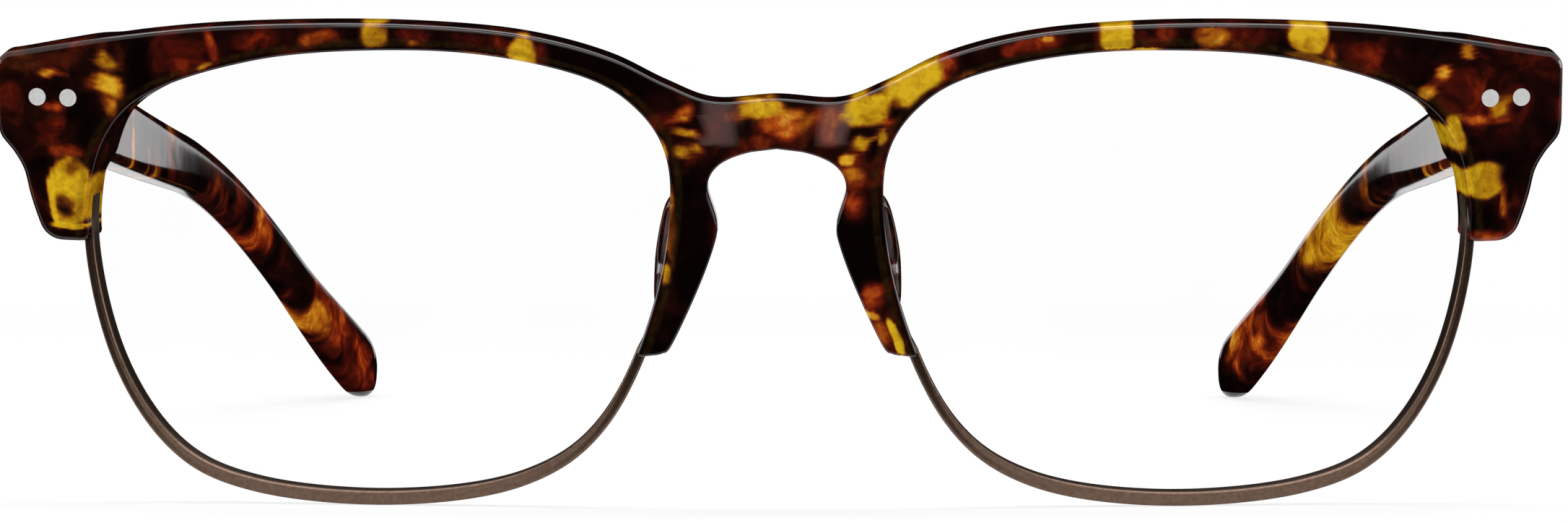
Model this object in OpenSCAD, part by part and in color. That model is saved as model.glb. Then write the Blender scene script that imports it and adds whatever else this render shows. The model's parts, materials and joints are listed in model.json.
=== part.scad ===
// Browline glasses: an acetate brow front with metal lower rims, and two folding acetate temples.
// The front is drawn upright in its own frame, X to the right, Y to the back and Z up, with the
// middle of the bridge at X = 0, Y = 0 and the bottom of the rims at Z = 0. Each side is drawn once,
// at +X, and mirrored. At the end the front is leaned forward until the rims and both temple tips
// rest on Z = 0, as the open glasses do on a table.

/* [Lenses] */
// Boxed width of a lens
lens_w = 55.8; // [50:0.1:60]
// Boxed height of a lens
lens_h = 42.5; // [36:0.1:46]
// Distance between the two lenses
bridge_w = 17.1; // [15:0.1:22]
// How far a lens edge is let into the acetate
acetate_bite = 0.85; // [0.5:0.05:1.1]
// How far a lens edge is let into the metal rim
wire_bite = 0.35; // [0.2:0.05:0.5]
// Thickness of a lens
lens_t = 2.0; // [1.6:0.1:2.6]
// Radius of a lens's front surface
lens_r = 132; // [110:1:180]

/* [Front] */
// Radius that the front is bent to, seen from above
front_r = 300; // [220:5:450]
// Thickness of the acetate
front_t = 4.0; // [3.4:0.1:5]
// Acetate above the lens opening, at the thinnest part of the brow
brow_wall = 2.4; // [1.8:0.1:4]
// Depth of the bridge, from its top edge down to the top of the nose arch
bridge_h = 4.6; // [3.5:0.1:7]
// Drop from the top of the brow to the top of the bridge
bridge_drop = 6.5; // [5:0.1:9]
// Reach of an end-piece past the lens
endpiece_w = 7.15; // [6.8:0.05:9]
// Depth of the end-piece, front to back, where the hinge sits
endpiece_t = 5.4; // [5:0.1:7]
// Height of the temporal lobe's bottom edge above the bottom of the rims
lobe_z = 23.9; // [21:0.1:26]
// Height of the nasal lobe's bottom edge above the bottom of the rims
nasal_z = 14.4; // [12:0.1:18]
// Width of the nose arch at its widest
arch_w = 12.5; // [11.5:0.1:13.5]

/* [Metal rims] */
// Thickness of a rim, measured out from the lens
wire_h = 0.8; // [0.7:0.05:1.1]
// Depth of a rim, front to back
wire_d = 2.0; // [1.8:0.05:2.4]
// Length of the flat tongue at each end of a rim
tongue_len = 3.1; // [2.5:0.1:4]

/* [Hinges] */
// Height of the hinges above the bottom of the rims
hinge_z = 37.1; // [36.5:0.1:37.6]
// Outer diameter of a hinge knuckle
knuckle_d = 2.8; // [2.4:0.1:3]
// Height of the stack of five knuckles
hinge_h = 6.0; // [5.4:0.1:6.6]
// Thickness of the hinge plates
plate_t = 1.0; // [0.8:0.05:1.2]
// Diameter of the hinge screw
screw_d = 1.4; // [1.2:0.1:1.6]
// Diameter of the rivets
rivet_d = 1.6; // [1.3:0.1:1.8]
// Distance between the two rivets in the front
rivet_gap = 2.9; // [2.5:0.1:3.2]

/* [Temples] */
// Length of a temple along its middle, from the front's back to its tip
temple_len = 144.5; // [130:0.5:155]
// Length of the straight part, before the bend
temple_straight = 87; // [78:1:100]
// Angle of the temple below the square to the front
temple_slope = 14; // [8:0.1:17]
// Further turn down behind the ear
temple_drop = 23; // [18:0.1:40]
// Radius of that turn
bend_r = 44; // [20:1:60]
// Angle at which the temple runs in from the hinge
toe_in = 2.2; // [0:0.1:4]
// Further inward sweep of the tip
tip_in = 13.8; // [8:0.1:18]
// Thickness of a temple
temple_t = 4.0; // [3.6:0.1:4.6]
// Height of a temple at the hinge
temple_h = 7.6; // [7:0.1:8.4]
// Height of a temple where it is slimmest, at the bend
temple_mid_h = 5.0; // [4.6:0.1:7]
// Height of a temple at its tip
temple_tip_h = 8.1; // [7:0.1:10]

/* [Hidden] */
$fn = 48;
ROUND = 200;
TORTOISE = "#4a1a0c";
BRONZE = "#5f4a3c";
STEEL = "#c9c9cc";

// Clearances: a sliding lens edge, a turning knuckle's bore, and two faces that pass each other
edge_gap = 0.05;
bore_gap = 0.03;
face_gap = 0.1;

// How far a cutting shape runs past what it cuts
OVERRUN = 6;

// The lens opening, which the front, the rim and the lens share
opening_w = lens_w - 2 * acetate_bite;
opening_h = lens_h - acetate_bite - wire_bite;
lens_x = (bridge_w + lens_w) / 2;
lens_z = wire_h + opening_h / 2;
lens_tilt = asin(lens_x / front_r);

// Layers through the front, as depths behind its face: the rim, the lens groove and the rim's tongues
wire_from = (front_t - wire_d) / 2 + 0.1;
wire_to = wire_from + wire_d;
groove_w = 1.2;
groove_from = (wire_from + wire_to - groove_w) / 2;
groove_to = groove_from + groove_w;
tongue_step = 0.15;

// Outline of the lens opening, as shares of its half width and half height: top left corner first,
// over the brow, and back under the lens
OPENING = [[-0.99, 0.48], [-0.85, 0.79], [-0.57, 0.94], [-0.14, 1.00], [0.42, 0.94], [0.86, 0.71],
    [1.00, 0.25], [0.93, -0.35], [0.73, -0.78], [0.44, -0.96], [-0.05, -1.00], [-0.49, -0.90],
    [-0.76, -0.63], [-0.94, -0.09]];

// A point of a smooth curve through b and c, with a and d before and after them
function mid_point(a, b, c, d, t) =
    0.5 * (2 * b + (c - a) * t + (2 * a - 5 * b + 4 * c - d) * t * t + (3 * b - a - 3 * c + d) * t * t * t);

// A smooth closed curve through the points
function ring_curve(p, steps = 8) =
    let (n = len(p))
    [for (i = [0 : n - 1], k = [0 : steps - 1])
        mid_point(p[(i + n - 1) % n], p[i], p[(i + 1) % n], p[(i + 2) % n], k / steps)];

// A smooth open curve through the points
function line_curve(p, steps = 6) =
    let (n = len(p))
    [for (i = [0 : n - 2], k = [0 : i == n - 2 ? steps : steps - 1])
        mid_point(p[max(i - 1, 0)], p[i], p[i + 1], p[min(i + 2, n - 1)], k / steps)];

// A quarter round or less, from angle a0 to a1 about the centre c
function corner(c, r, a0, a1, steps = 5) =
    [for (k = [0 : steps]) c + r * [cos(a0 + (a1 - a0) * k / steps), sin(a0 + (a1 - a0) * k / steps)]];

opening = ring_curve([for (q = OPENING) [q.x * opening_w / 2, q.y * opening_h / 2]]);

// The outward direction at point i of a closed curve that runs clockwise
function outward(p, i) =
    let (n = len(p), d = p[(i + 1) % n] - p[(i + n - 1) % n])
    [-d.y, d.x] / norm(d);

// The curve moved outwards by the same distance all round
function grown(p, by) = [for (i = [0 : len(p) - 1]) p[i] + by * outward(p, i)];

// Height of the rim's cut ends above the lens centre: the cut slopes from the nose up to the temple
full_temporal = lobe_z + 1.4 - lens_z;
full_nasal = nasal_z + 0.9 - lens_z;
function rim_end(x, extra) =
    extra + full_nasal + (full_temporal - full_nasal) * (x / opening_w + 0.5);

// How far the lens edge is let in: the rim's bite below the tongues, rising to the acetate's above
BITE_RISE = 3;
function bite(q) =
    let (t = min(1, max(0, (q.y - rim_end(q.x, tongue_len)) / BITE_RISE)))
    wire_bite + (acetate_bite - wire_bite) * t * t * (3 - 2 * t);
function bitten(extra) =
    [for (i = [0 : len(opening) - 1]) opening[i] + (bite(opening[i]) + extra) * outward(opening, i)];

// How far the bent front has curved back at x, and the back face there
function sag(x) = front_r - sqrt(front_r * front_r - x * x);
function back_y(x) = front_r - sqrt(pow(front_r - front_t, 2) - x * x);

// Outline of the front, from the middle of the bridge to the +X end and back along the nose
brow_z = wire_h + opening_h + brow_wall;
bridge_z = brow_z - bridge_drop;
arch_z = bridge_z - bridge_h;
end_x = lens_x + lens_w / 2 + endpiece_w;
end_top = brow_z - 3.3;
END_R = 1.6;
shoulder_z = hinge_z - 3.9;
LOBE_R = 1.9;
// Shares of the lens's half width from its centre, with the fall below the top of the brow
BROW = [[-0.95, 5.25], [-0.77, 2.85], [-0.55, 1.15], [-0.30, 0.28], [0.06, 0], [0.49, 0.48], [0.84, 1.6]];
brow_line = line_curve(concat(
    [[0, bridge_z], [bridge_w * 0.33, bridge_z - 0.3]],
    [for (q = BROW) [lens_x + q.x * lens_w / 2, brow_z - q.y]],
    [[end_x - END_R, end_top]]));
lobe_x = end_x - 4.0;
end_line = line_curve([[end_x, shoulder_z + 1.5], [end_x - 0.3, shoulder_z + 0.2],
    [end_x - 1.5, shoulder_z - 1.3], [end_x - 2.4, shoulder_z - 2.7],
    [end_x - 2.9, (shoulder_z + lobe_z) / 2 - 0.7], [lobe_x + 0.25, lobe_z + LOBE_R]], 4);
nose_line = line_curve([[bridge_w / 2 + 1.0, nasal_z + 1.0], [bridge_w / 2 - 1.3, nasal_z + 5.9],
    [arch_w / 2 - 0.5, nasal_z + 9.9], [arch_w / 2 - 0.85, arch_z - 6.9], [arch_w / 2, arch_z - 3.7],
    [arch_w / 2 - 0.75, arch_z - 1.75], [arch_w / 2 - 2.95, arch_z - 0.55], [0, arch_z]], 5);
half_outline = concat(
    brow_line,
    corner([end_x - END_R, end_top - END_R], END_R, 80, 0),
    end_line,
    corner([lobe_x - LOBE_R + 0.25, lobe_z + LOBE_R], LOBE_R, -10, -90),
    [[lens_x + opening_w * 0.42, lobe_z], [lens_x + opening_w * 0.3, lens_z],
     [lens_x - opening_w * 0.3, lens_z], [lens_x - opening_w * 0.4, nasal_z - 0.3],
     [bridge_w / 2 + 2.0, nasal_z + 0.25]],
    nose_line);
outline = concat(half_outline,
    [for (i = [len(half_outline) - 2 : -1 : 1]) [-half_outline[i].x, half_outline[i].y]]);

// The hinge: its axis stands behind the end-piece, inside the temple's inner face
endpiece_back = sag(end_x - 5) + endpiece_t;
temple_out_x = end_x - 0.2;
temple_in_x = temple_out_x - temple_t;
butt_y = endpiece_back + face_gap;
knuckle_r = knuckle_d / 2;
inlay = 0.5;
hinge_x = temple_in_x + inlay - plate_t - 0.2 - knuckle_r;
hinge_y = endpiece_back + 0.2 + knuckle_r;
knuckle_h = hinge_h / 5;
plate_h = hinge_h + 0.2;
rivet_in = hinge_x - 0.45;

// Where the pocket for the plate starts, so that both rivets have metal round them
plate_from = rivet_in - rivet_d / 2 - 0.6;
plate_to = rivet_in + rivet_gap + rivet_d / 2 + 0.9;

// The middle line of a temple, as distance s from the front's back: straight, a round bend, straight
bend_len = bend_r * temple_drop * PI / 180;
drop_end = temple_slope + temple_drop;
function turned(s) =
    temple_slope + temple_drop * min(1, max(0, (s - temple_straight) / bend_len));
function bend_at(a) = bend_r * [sin(a) - sin(temple_slope), cos(a) - cos(temple_slope)];
function side_line(s) =
    let (s1 = min(s, temple_straight), s3 = max(0, s - temple_straight - bend_len),
         b = bend_at(turned(s)))
    [butt_y + s1 * cos(temple_slope) + b.x + s3 * cos(drop_end),
     hinge_z + (hinge_y - butt_y) * tan(temple_slope) - s1 * sin(temple_slope) + b.y - s3 * sin(drop_end)];
function swept_in(s) = s * tan(toe_in) + tip_in * pow(max(s, 0) / temple_len, 3);
function temple_mid(s) =
    let (q = side_line(s))
    [temple_out_x - temple_t / 2 - swept_in(s), q.x, q.y];

// Height and thickness of a temple at s, which thins to the bend and swells to the tip
function smooth(a, b, s) = let (t = min(1, max(0, (s - a) / (b - a)))) t * t * (3 - 2 * t);
function temple_height(s) =
    temple_h + (temple_mid_h - temple_h) * smooth(10, temple_straight + 7, s)
    + (temple_tip_h - temple_mid_h) * smooth(temple_len - 28, temple_len - 6, s);
function temple_thick(s) =
    temple_t - 0.6 * smooth(0, temple_straight * 0.6, s) + 0.5 * smooth(temple_straight, temple_len - 8, s);
// Squareness of the section: nearly a rectangle at the hinge and nearly an ellipse at the tip
function squareness(s) = 5 - 2.7 * smooth(0, temple_straight * 0.8, s);
TIP_ROUND = 4.6;
function tip_scale(s) =
    let (e = min(1, max(0, (s - (temple_len - TIP_ROUND)) / TIP_ROUND)))
    sqrt(max(0.0225, 1 - e * e));

// One ring of a temple, upright at the hinge and square to the line farther on
RING = 20;
function side_power(v, n) = sign(v) * pow(abs(v), 2 / n);
function section(w, h, n) =
    [for (i = [0 : RING - 1]) let (a = 360 * i / RING)
        [w / 2 * side_power(cos(a), n), h / 2 * side_power(sin(a), n)]];
function ring_lean(s) = turned(s) * smooth(0, 12, s);
function laid(s, ring) =
    let (m = temple_mid(s), a = ring_lean(s), stretch = 1 / cos(turned(s) - a))
    [for (q = ring) m + [q.x, q.y * stretch * sin(a), q.y * stretch * cos(a)]];
function temple_ring(s) =
    let (k = tip_scale(s))
    laid(s, section(temple_thick(s) * k, temple_height(s) * k, squareness(s)));
temple_stops = concat([for (i = [0 : 3]) 4 * i], [for (i = [1 : 7]) 12 + (temple_straight - 12) * i / 7],
    [for (i = [1 : 6]) temple_straight + bend_len * i / 6],
    [for (i = [1 : 3]) temple_straight + bend_len
        + (temple_len - TIP_ROUND - temple_straight - bend_len) * i / 3],
    [for (e = [0.4, 0.65, 0.83, 0.95, 1]) temple_len - TIP_ROUND + TIP_ROUND * e]);
temple_rings = [for (s = temple_stops) temple_ring(s)];

// The core wire lies in the middle of the temple and stops before the tip
CORE_T = 1.2;
CORE_H = 2.6;
core_end = temple_len - 20;
core_box = [[CORE_T / 2, CORE_H / 2], [-CORE_T / 2, CORE_H / 2], [-CORE_T / 2, -CORE_H / 2],
    [CORE_T / 2, -CORE_H / 2]];
function core_rings(start) = [for (s = concat([start], [for (t = temple_stops) if (t > 0 && t < core_end) t],
    [core_end])) laid(s, core_box)];

// How the open glasses rest: the front leans until the rims and the temple tips are on one plane
rim_foot = [sag(lens_x) + wire_from, 0];
function lowest(points, a) = min([for (q = points) q.z * cos(a) + q.y * sin(a)]);
temple_points = [for (r = temple_rings, q = r) q];
lean_guess = 6;
foot_low = lowest(temple_points, lean_guess);
tip_foot = [for (q = temple_points) if (q.z * cos(lean_guess) + q.y * sin(lean_guess) < foot_low + 0.000001) q][0];
lean = atan2(rim_foot.y - tip_foot.z, tip_foot.y - rim_foot.x);
low_z = rim_foot.x * sin(lean) + rim_foot.y * cos(lean);
front_y = min([for (q = outline) sag(q.x) * cos(lean) - q.y * sin(lean)]);
back_end_y = max([for (q = temple_points) q.y * cos(lean) - q.z * sin(lean)]);
middle_y = (front_y + back_end_y) / 2;

echo(lean = lean, low_z = low_z, middle_y = middle_y, hinge = [hinge_x, hinge_y, hinge_z],
    hinge_pos = [hinge_x, hinge_y * cos(lean) - hinge_z * sin(lean) - middle_y,
        hinge_z * cos(lean) + hinge_y * sin(lean) - low_z],
    axis = [0, -sin(lean), cos(lean)], tip_y = tip_foot.y, tip_x = tip_foot.x, back = back_end_y - front_y,
    end_x = end_x, endpiece_back = endpiece_back, butt_y = butt_y,
    bend = temple_mid(temple_straight + bend_len / 2) - [0, 0, temple_mid_h / 2]);

// Leans the upright front onto the table, and mirrors what is drawn for the +X side
module seat(side = 1) {
    translate([0, -middle_y, -low_z]) rotate([lean, 0, 0])
        if (side > 0) children();
        else mirror([1, 0, 0]) children();
}

// Extrudes an outline in X and Z from front to back
module slab(points, from, to) {
    translate([0, to, 0]) rotate([90, 0, 0]) linear_extrude(to - from) polygon(points);
}

// The same, square to one lens, about the lens's centre
module lens_slab(points, from = -6, to = 22) {
    translate([lens_x, sag(lens_x), lens_z]) rotate([0, 0, lens_tilt]) slab(points, from, to);
}

// Keeps what lies between two depths behind the face of the bent front
module layer(from, to) {
    difference() {
        intersection() {
            children();
            translate([0, front_r, -60]) cylinder(r = front_r - from, h = 160, $fn = ROUND);
        }
        translate([0, front_r, -61]) cylinder(r = front_r - to, h = 162, $fn = ROUND);
    }
}

// The part of a lens's plane below the rim's cut ends
function below_ends(extra) = [[-lens_w, rim_end(-lens_w, extra)], [lens_w, rim_end(lens_w, extra)],
    [lens_w, -lens_h], [-lens_w, -lens_h]];

// The stretch of a closed curve below the rim's cut ends, with its two end points on the cut
function over_cut(q, extra) = q.y - rim_end(q.x, extra);
function cut_point(a, b, extra) =
    let (fa = over_cut(a, extra), fb = over_cut(b, extra)) a + (b - a) * fa / (fa - fb);
function low_run(p, extra) =
    let (n = len(p), low = [for (i = [0 : n - 1]) if (over_cut(p[i], extra) < 0) i],
         first = low[0], last = low[len(low) - 1])
    concat([cut_point(p[first - 1], p[first], extra)], [for (i = low) p[i]],
        [cut_point(p[last], p[(last + 1) % n], extra)]);

// The rim's own outline, from the opening's edge out
function rim_band(extra) =
    let (inner = low_run(opening, extra), outer = low_run(grown(opening, wire_h), extra))
    concat(inner, [for (i = [len(outer) - 1 : -1 : 0]) outer[i]]);

// A length of rim with its cut ends, as a solid bar that fills the opening too
module rim_bar(from, to, extra) {
    layer(from, to) intersection() {
        lens_slab(grown(opening, wire_h));
        lens_slab(below_ends(extra));
    }
}

// The rim's bar and its narrower tongues, which also cut the slots in the lobes
module rim_and_tongues() {
    rim_bar(wire_from, wire_to, 0);
    rim_bar(wire_from + tongue_step, wire_to - tongue_step, tongue_len);
}

// Nearest point of the opening to a height above the lens centre, on the +1 or -1 side of the lens
function opening_at(z, side) =
    let (best = min([for (q = opening) if (q.x * side > 0) abs(q.y - z)]))
    [for (i = [0 : len(opening) - 1]) if (opening[i].x * side > 0 && abs(opening[i].y - z) <= best) i][0];

// The small screws that hold a rim's tongues, square to the opening's edge; their holes start early
PIN_D = 0.8;
PIN_HEAD_D = 1.1;
PIN_LEN = 1.9;
module eyewire_pins(early = 0) {
    for (side = [1, -1]) {
        i = opening_at(rim_end(side * opening_w / 2, tongue_len / 2), side);
        n = outward(opening, i);
        p = opening[i] + n * (wire_bite + edge_gap);
        translate([lens_x, sag(lens_x), lens_z]) rotate([0, 0, lens_tilt])
            translate([p.x, sag(p.x) + (wire_from + wire_to) / 2, p.y])
                rotate([0, 90 - atan2(n.y, n.x), 0]) translate([0, 0, -early]) {
                    cylinder(d = PIN_D, h = PIN_LEN + early);
                    cylinder(d = PIN_HEAD_D, h = 0.2 + early);
                }
    }
}

// Bores and rivets of the front's hinge plate run straight back
module front_rivet_bars(from, to) {
    for (x = [rivet_in, rivet_in + rivet_gap])
        translate([x, from, hinge_z]) rotate([-90, 0, 0]) cylinder(d = rivet_d, h = to - from);
}

// The acetate behind the face that carries the hinge, with a ramp down to the lens rim
module endpiece_block() {
    ramp = plate_from - 0.5;
    foot = back_y(ramp - 3.2) - 0.05;
    intersection() {
        slab(outline, -OVERRUN, endpiece_back);
        translate([0, 0, shoulder_z - 2.2]) linear_extrude(brow_z)
            polygon([[ramp - 3.2, foot], [ramp, endpiece_back], [end_x + OVERRUN, endpiece_back],
                [end_x + OVERRUN, 0], [ramp - 3.2, foot - front_t / 2]]);
        translate([0, front_r, -60]) cylinder(r = front_r, h = 160, $fn = ROUND);
    }
}

module front_cuts() {
    lens_slab(opening);
    layer(groove_from, groove_to) lens_slab(bitten(edge_gap));
    rim_and_tongues();
    eyewire_pins(0.3);
    front_rivet_bars(-OVERRUN, endpiece_back + OVERRUN);
    translate([plate_from, endpiece_back - plate_t, hinge_z - plate_h / 2])
        cube([plate_to - plate_from, plate_t + OVERRUN, plate_h]);
}

module browline_front() {
    color(TORTOISE) seat() difference() {
        union() {
            layer(0, front_t) slab(outline, -OVERRUN, endpiece_back + OVERRUN);
            endpiece_block();
            mirror([1, 0, 0]) endpiece_block();
        }
        front_cuts();
        mirror([1, 0, 0]) front_cuts();
    }
}

// A nose pad: a round-backed drop on the back of the nasal lobe, wider at its middle
module nose_pad(side) {
    pad_x = (bridge_w / 2 + arch_w / 2) / 2 + 0.9;
    color(TORTOISE) seat(side) intersection() {
        hull() {
            translate([pad_x - 0.1, front_t - 1, nasal_z + 13.2]) sphere(r = 1.5, $fn = 24);
            translate([pad_x + 0.4, front_t + 1.6, nasal_z + 9.2]) sphere(r = 2.2, $fn = 24);
            translate([pad_x + 0.6, front_t + 2.4, nasal_z + 7.0]) sphere(r = 1.9, $fn = 24);
            translate([pad_x + 1.1, front_t - 0.4, nasal_z + 3.8]) sphere(r = 1.4, $fn = 24);
        }
        translate([0, front_r, 0]) cylinder(r = front_r - front_t, h = 60, $fn = ROUND);
    }
}

module eyewire(side) {
    color(BRONZE) seat(side) difference() {
        union() {
            layer(wire_from, wire_to) lens_slab(rim_band(0));
            layer(wire_from + tongue_step, wire_to - tongue_step) lens_slab(rim_band(tongue_len));
        }
        layer(groove_from, groove_to) lens_slab(grown(opening, wire_bite + edge_gap));
        eyewire_pins(0.3);
    }
}

module eyewire_screws(side) {
    color(STEEL) seat(side) eyewire_pins();
}

// The lens's edge follows the bent front, and its body is a shallow bowl that bulges ahead of it
LEDGE = 1.0;
module lens(side) {
    bulge = opening_h * opening_h / 8 / lens_r;
    body_from = (groove_from + groove_to - lens_t) / 2 - bulge;
    color([0.85, 0.92, 0.95, 0.35]) seat(side) {
        intersection() {
            lens_slab(grown(opening, -edge_gap));
            translate([lens_x, sag(lens_x), lens_z]) rotate([0, 0, lens_tilt])
                translate([0, body_from + lens_r, 0]) difference() {
                    sphere(r = lens_r, $fn = ROUND);
                    sphere(r = lens_r - lens_t, $fn = ROUND);
                }
        }
        layer(groove_from + edge_gap, groove_to - edge_gap) difference() {
            lens_slab(bitten(0));
            lens_slab(grown(opening, -LEDGE));
        }
    }
}

// Knuckles number 0 to 4 from the bottom: the front has the even ones and the temple the odd ones
module knuckles(first, reach, gap, bore_d) {
    difference() {
        union() {
            for (i = [first : 2 : 4])
                translate([hinge_x, hinge_y, hinge_z - hinge_h / 2 + i * knuckle_h + gap]) {
                    cylinder(r = knuckle_r, h = knuckle_h - 2 * gap);
                    translate([reach[0].x, reach[0].y, 0])
                        cube([reach[1].x - reach[0].x, reach[1].y - reach[0].y, knuckle_h - 2 * gap]);
                }
            children();
        }
        translate([hinge_x, hinge_y, hinge_z - hinge_h]) cylinder(d = bore_d, h = 2 * hinge_h);
    }
}

module hinge_front(side) {
    color(STEEL) seat(side)
        knuckles(0, [[-1.0, endpiece_back - hinge_y - 0.1], [1.2, 0]], 0, screw_d) difference() {
            translate([plate_from, endpiece_back - plate_t, hinge_z - plate_h / 2])
                cube([plate_to - plate_from, plate_t, plate_h]);
            front_rivet_bars(endpiece_back - plate_t - 1, endpiece_back - 0.1);
        }
}

module front_rivets(side) {
    color(STEEL) seat(side) intersection() {
        front_rivet_bars(0, endpiece_back - 0.1);
        translate([0, front_r, -60]) cylinder(r = front_r + 0.03, h = 160, $fn = ROUND);
    }
}

HEAD_D = 2.3;
HEAD_H = 0.45;
module hinge_screw(side) {
    color(STEEL) seat(side) translate([hinge_x, hinge_y, hinge_z - hinge_h / 2]) difference() {
        union() {
            cylinder(d = screw_d, h = hinge_h);
            translate([0, 0, hinge_h]) cylinder(d = HEAD_D, h = HEAD_H);
        }
        translate([-HEAD_D, -0.15, hinge_h + HEAD_H / 2]) cube([2 * HEAD_D, 0.3, HEAD_H]);
    }
}

// The temple's plate lies along the temple, let into its inner face, with two rivets through it
PLATE_LEN = 10.5;
TEMPLE_RIVETS = [4.2, 8.2];
module temple_plate_box(deeper = 0) {
    translate([temple_in_x + inlay - plate_t - deeper, hinge_y, hinge_z]) rotate([-temple_slope, 0, 0])
        translate([0, -0.5, -plate_h / 2]) cube([plate_t + deeper, PLATE_LEN, plate_h]);
}

module temple_rivet_bars(from, to) {
    for (a = TEMPLE_RIVETS)
        translate([from, hinge_y + a * cos(temple_slope), hinge_z - a * sin(temple_slope)])
            rotate([0, 90, 0]) cylinder(d = rivet_d, h = to - from);
}

module hinge_temple(side) {
    plate_x = temple_in_x + inlay - plate_t;
    color(STEEL) seat(side) difference() {
        knuckles(1, [[0, -0.9], [plate_x - hinge_x + 0.1, knuckle_r]], face_gap, screw_d + 2 * bore_gap)
            temple_plate_box();
        temple_rivet_bars(temple_in_x - 4, temple_out_x);
    }
}

// A solid through rings of points, closed by a flat face at each end
module skin(rings) {
    n = len(rings[0]);
    m = len(rings);
    points = [for (r = rings, q = r) q];
    sides = [for (j = [0 : m - 2], i = [0 : n - 1], half = [0, 1])
        let (a = j * n + i, b = j * n + (i + 1) % n)
        half == 0 ? [a, b, a + n] : [b, b + n, a + n]];
    polyhedron(points, concat([[for (i = [n - 1 : -1 : 0]) i]], sides, [[for (i = [0 : n - 1]) (m - 1) * n + i]]));
}

// Outer face of the temple where the rivet at a stands
function rivet_out(a) =
    let (s = a + (hinge_y - butt_y) / cos(temple_slope))
    temple_mid(s).x + temple_thick(s) / 2 - 0.02;

module temple(side) {
    color(TORTOISE) seat(side) difference() {
        skin(temple_rings);
        skin(core_rings(-1));
        temple_plate_box(3);
        temple_rivet_bars(temple_in_x - 4, temple_out_x + 3);
    }
}

module temple_core(side) {
    color(BRONZE) seat(side) difference() {
        skin(core_rings(0));
        temple_rivet_bars(temple_in_x - 4, temple_out_x + 3);
    }
}

module temple_rivets(side) {
    color(STEEL) seat(side)
        for (a = TEMPLE_RIVETS)
            translate([temple_in_x + inlay - plate_t, hinge_y + a * cos(temple_slope),
                hinge_z - a * sin(temple_slope)])
                rotate([0, 90, 0])
                    cylinder(d = rivet_d, h = rivet_out(a) - temple_in_x - inlay + plate_t);
}

browline_front();
nose_pad(-1);  // nose_pad_left
nose_pad(1);  // nose_pad_right
eyewire(-1);  // eyewire_left
eyewire(1);  // eyewire_right
eyewire_screws(-1);  // eyewire_screws_left
eyewire_screws(1);  // eyewire_screws_right
lens(-1);  // lens_left
lens(1);  // lens_right
hinge_front(-1);  // hinge_front_left
hinge_front(1);  // hinge_front_right
front_rivets(-1);  // front_rivets_left
front_rivets(1);  // front_rivets_right
hinge_screw(-1);  // hinge_screw_left
hinge_screw(1);  // hinge_screw_right
hinge_temple(-1);  // hinge_temple_left
hinge_temple(1);  // hinge_temple_right
temple(-1);  // temple_left
temple(1);  // temple_right
temple_core(-1);  // temple_core_left
temple_core(1);  // temple_core_right
temple_rivets(-1);  // temple_rivets_left
temple_rivets(1);  // temple_rivets_right
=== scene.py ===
"""Browline glasses, open on a table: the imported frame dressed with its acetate, metal and lenses.

Shapes are worked out in millimetres in the front's own frame, X to the right, Y to the back and Z up,
with the middle of the bridge at X = 0, Y = 0 and the bottom of the rims at Z = 0. Each side is drawn
at +X and mirrored. seat() then leans a shape with the front onto the table, in metres.
"""
import json
import math

import bmesh
import bpy
import numpy as np
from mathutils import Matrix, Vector


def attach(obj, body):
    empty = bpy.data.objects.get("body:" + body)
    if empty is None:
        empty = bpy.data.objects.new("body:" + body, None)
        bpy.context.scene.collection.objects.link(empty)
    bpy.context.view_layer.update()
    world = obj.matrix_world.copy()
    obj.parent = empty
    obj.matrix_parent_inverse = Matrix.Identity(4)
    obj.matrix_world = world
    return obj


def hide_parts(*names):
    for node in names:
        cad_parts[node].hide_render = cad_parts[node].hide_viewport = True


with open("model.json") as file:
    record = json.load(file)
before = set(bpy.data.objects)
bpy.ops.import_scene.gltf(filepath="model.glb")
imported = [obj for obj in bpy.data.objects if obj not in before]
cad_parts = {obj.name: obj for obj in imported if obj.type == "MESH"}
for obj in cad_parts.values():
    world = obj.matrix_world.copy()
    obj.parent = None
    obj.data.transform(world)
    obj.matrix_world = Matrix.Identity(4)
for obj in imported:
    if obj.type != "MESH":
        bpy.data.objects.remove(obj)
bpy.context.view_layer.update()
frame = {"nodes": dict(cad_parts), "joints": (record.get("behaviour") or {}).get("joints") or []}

# How the front leans on the table: the hinge axis gives the angle, and a hinge's place gives the rest
HINGE = np.array([65.2, 14.4633, 37.1])
fold = next(j for j in frame["joints"] if j["name"] == "temple_fold_right")
LEAN = math.asin(-fold["axis"][1])
COS, SIN = math.cos(LEAN), math.sin(LEAN)
MIDDLE_Y = HINGE[1] * COS - HINGE[2] * SIN - fold["pos_m"][1] * 1000
LOW_Z = HINGE[2] * COS + HINGE[1] * SIN - fold["pos_m"][2] * 1000

# Lenses. LENS_EDGE is where a lens's two faces reach its edge, behind the front's face, and LENS_GROWTH
# how far it reaches past the opening into the acetate and the rim
LENS_W, LENS_H, BRIDGE_W = 55.8, 42.5, 17.1
ACETATE_BITE, WIRE_BITE = 0.85, 0.35
LENS_R, LENS_EDGE, LENS_GROWTH = 132.0, (1.3, 2.9), 0.25

# Front
FRONT_R, FRONT_T, BROW_WALL = 300.0, 4.0, 2.4
BRIDGE_H, BRIDGE_DROP, ARCH_W = 4.6, 6.5, 12.5
END_W, END_T, END_ROUND, LOBE_ROUND = 7.15, 5.4, 1.6, 2.2
LOBE_Z, NASAL_Z = 23.9, 14.4

# Bevels of the front: along the nose and bridge, with what the brow and the end-piece add to it, at the
# lens, on the back, and what the top of the end-piece's block adds there
NOSE_BEVEL, BROW_BEVEL, END_BEVEL, LENS_BEVEL, BACK_BEVEL, BLOCK_BEVEL = 0.24, 0.1, 0.08, 0.26, 0.3, 0.8
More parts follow.
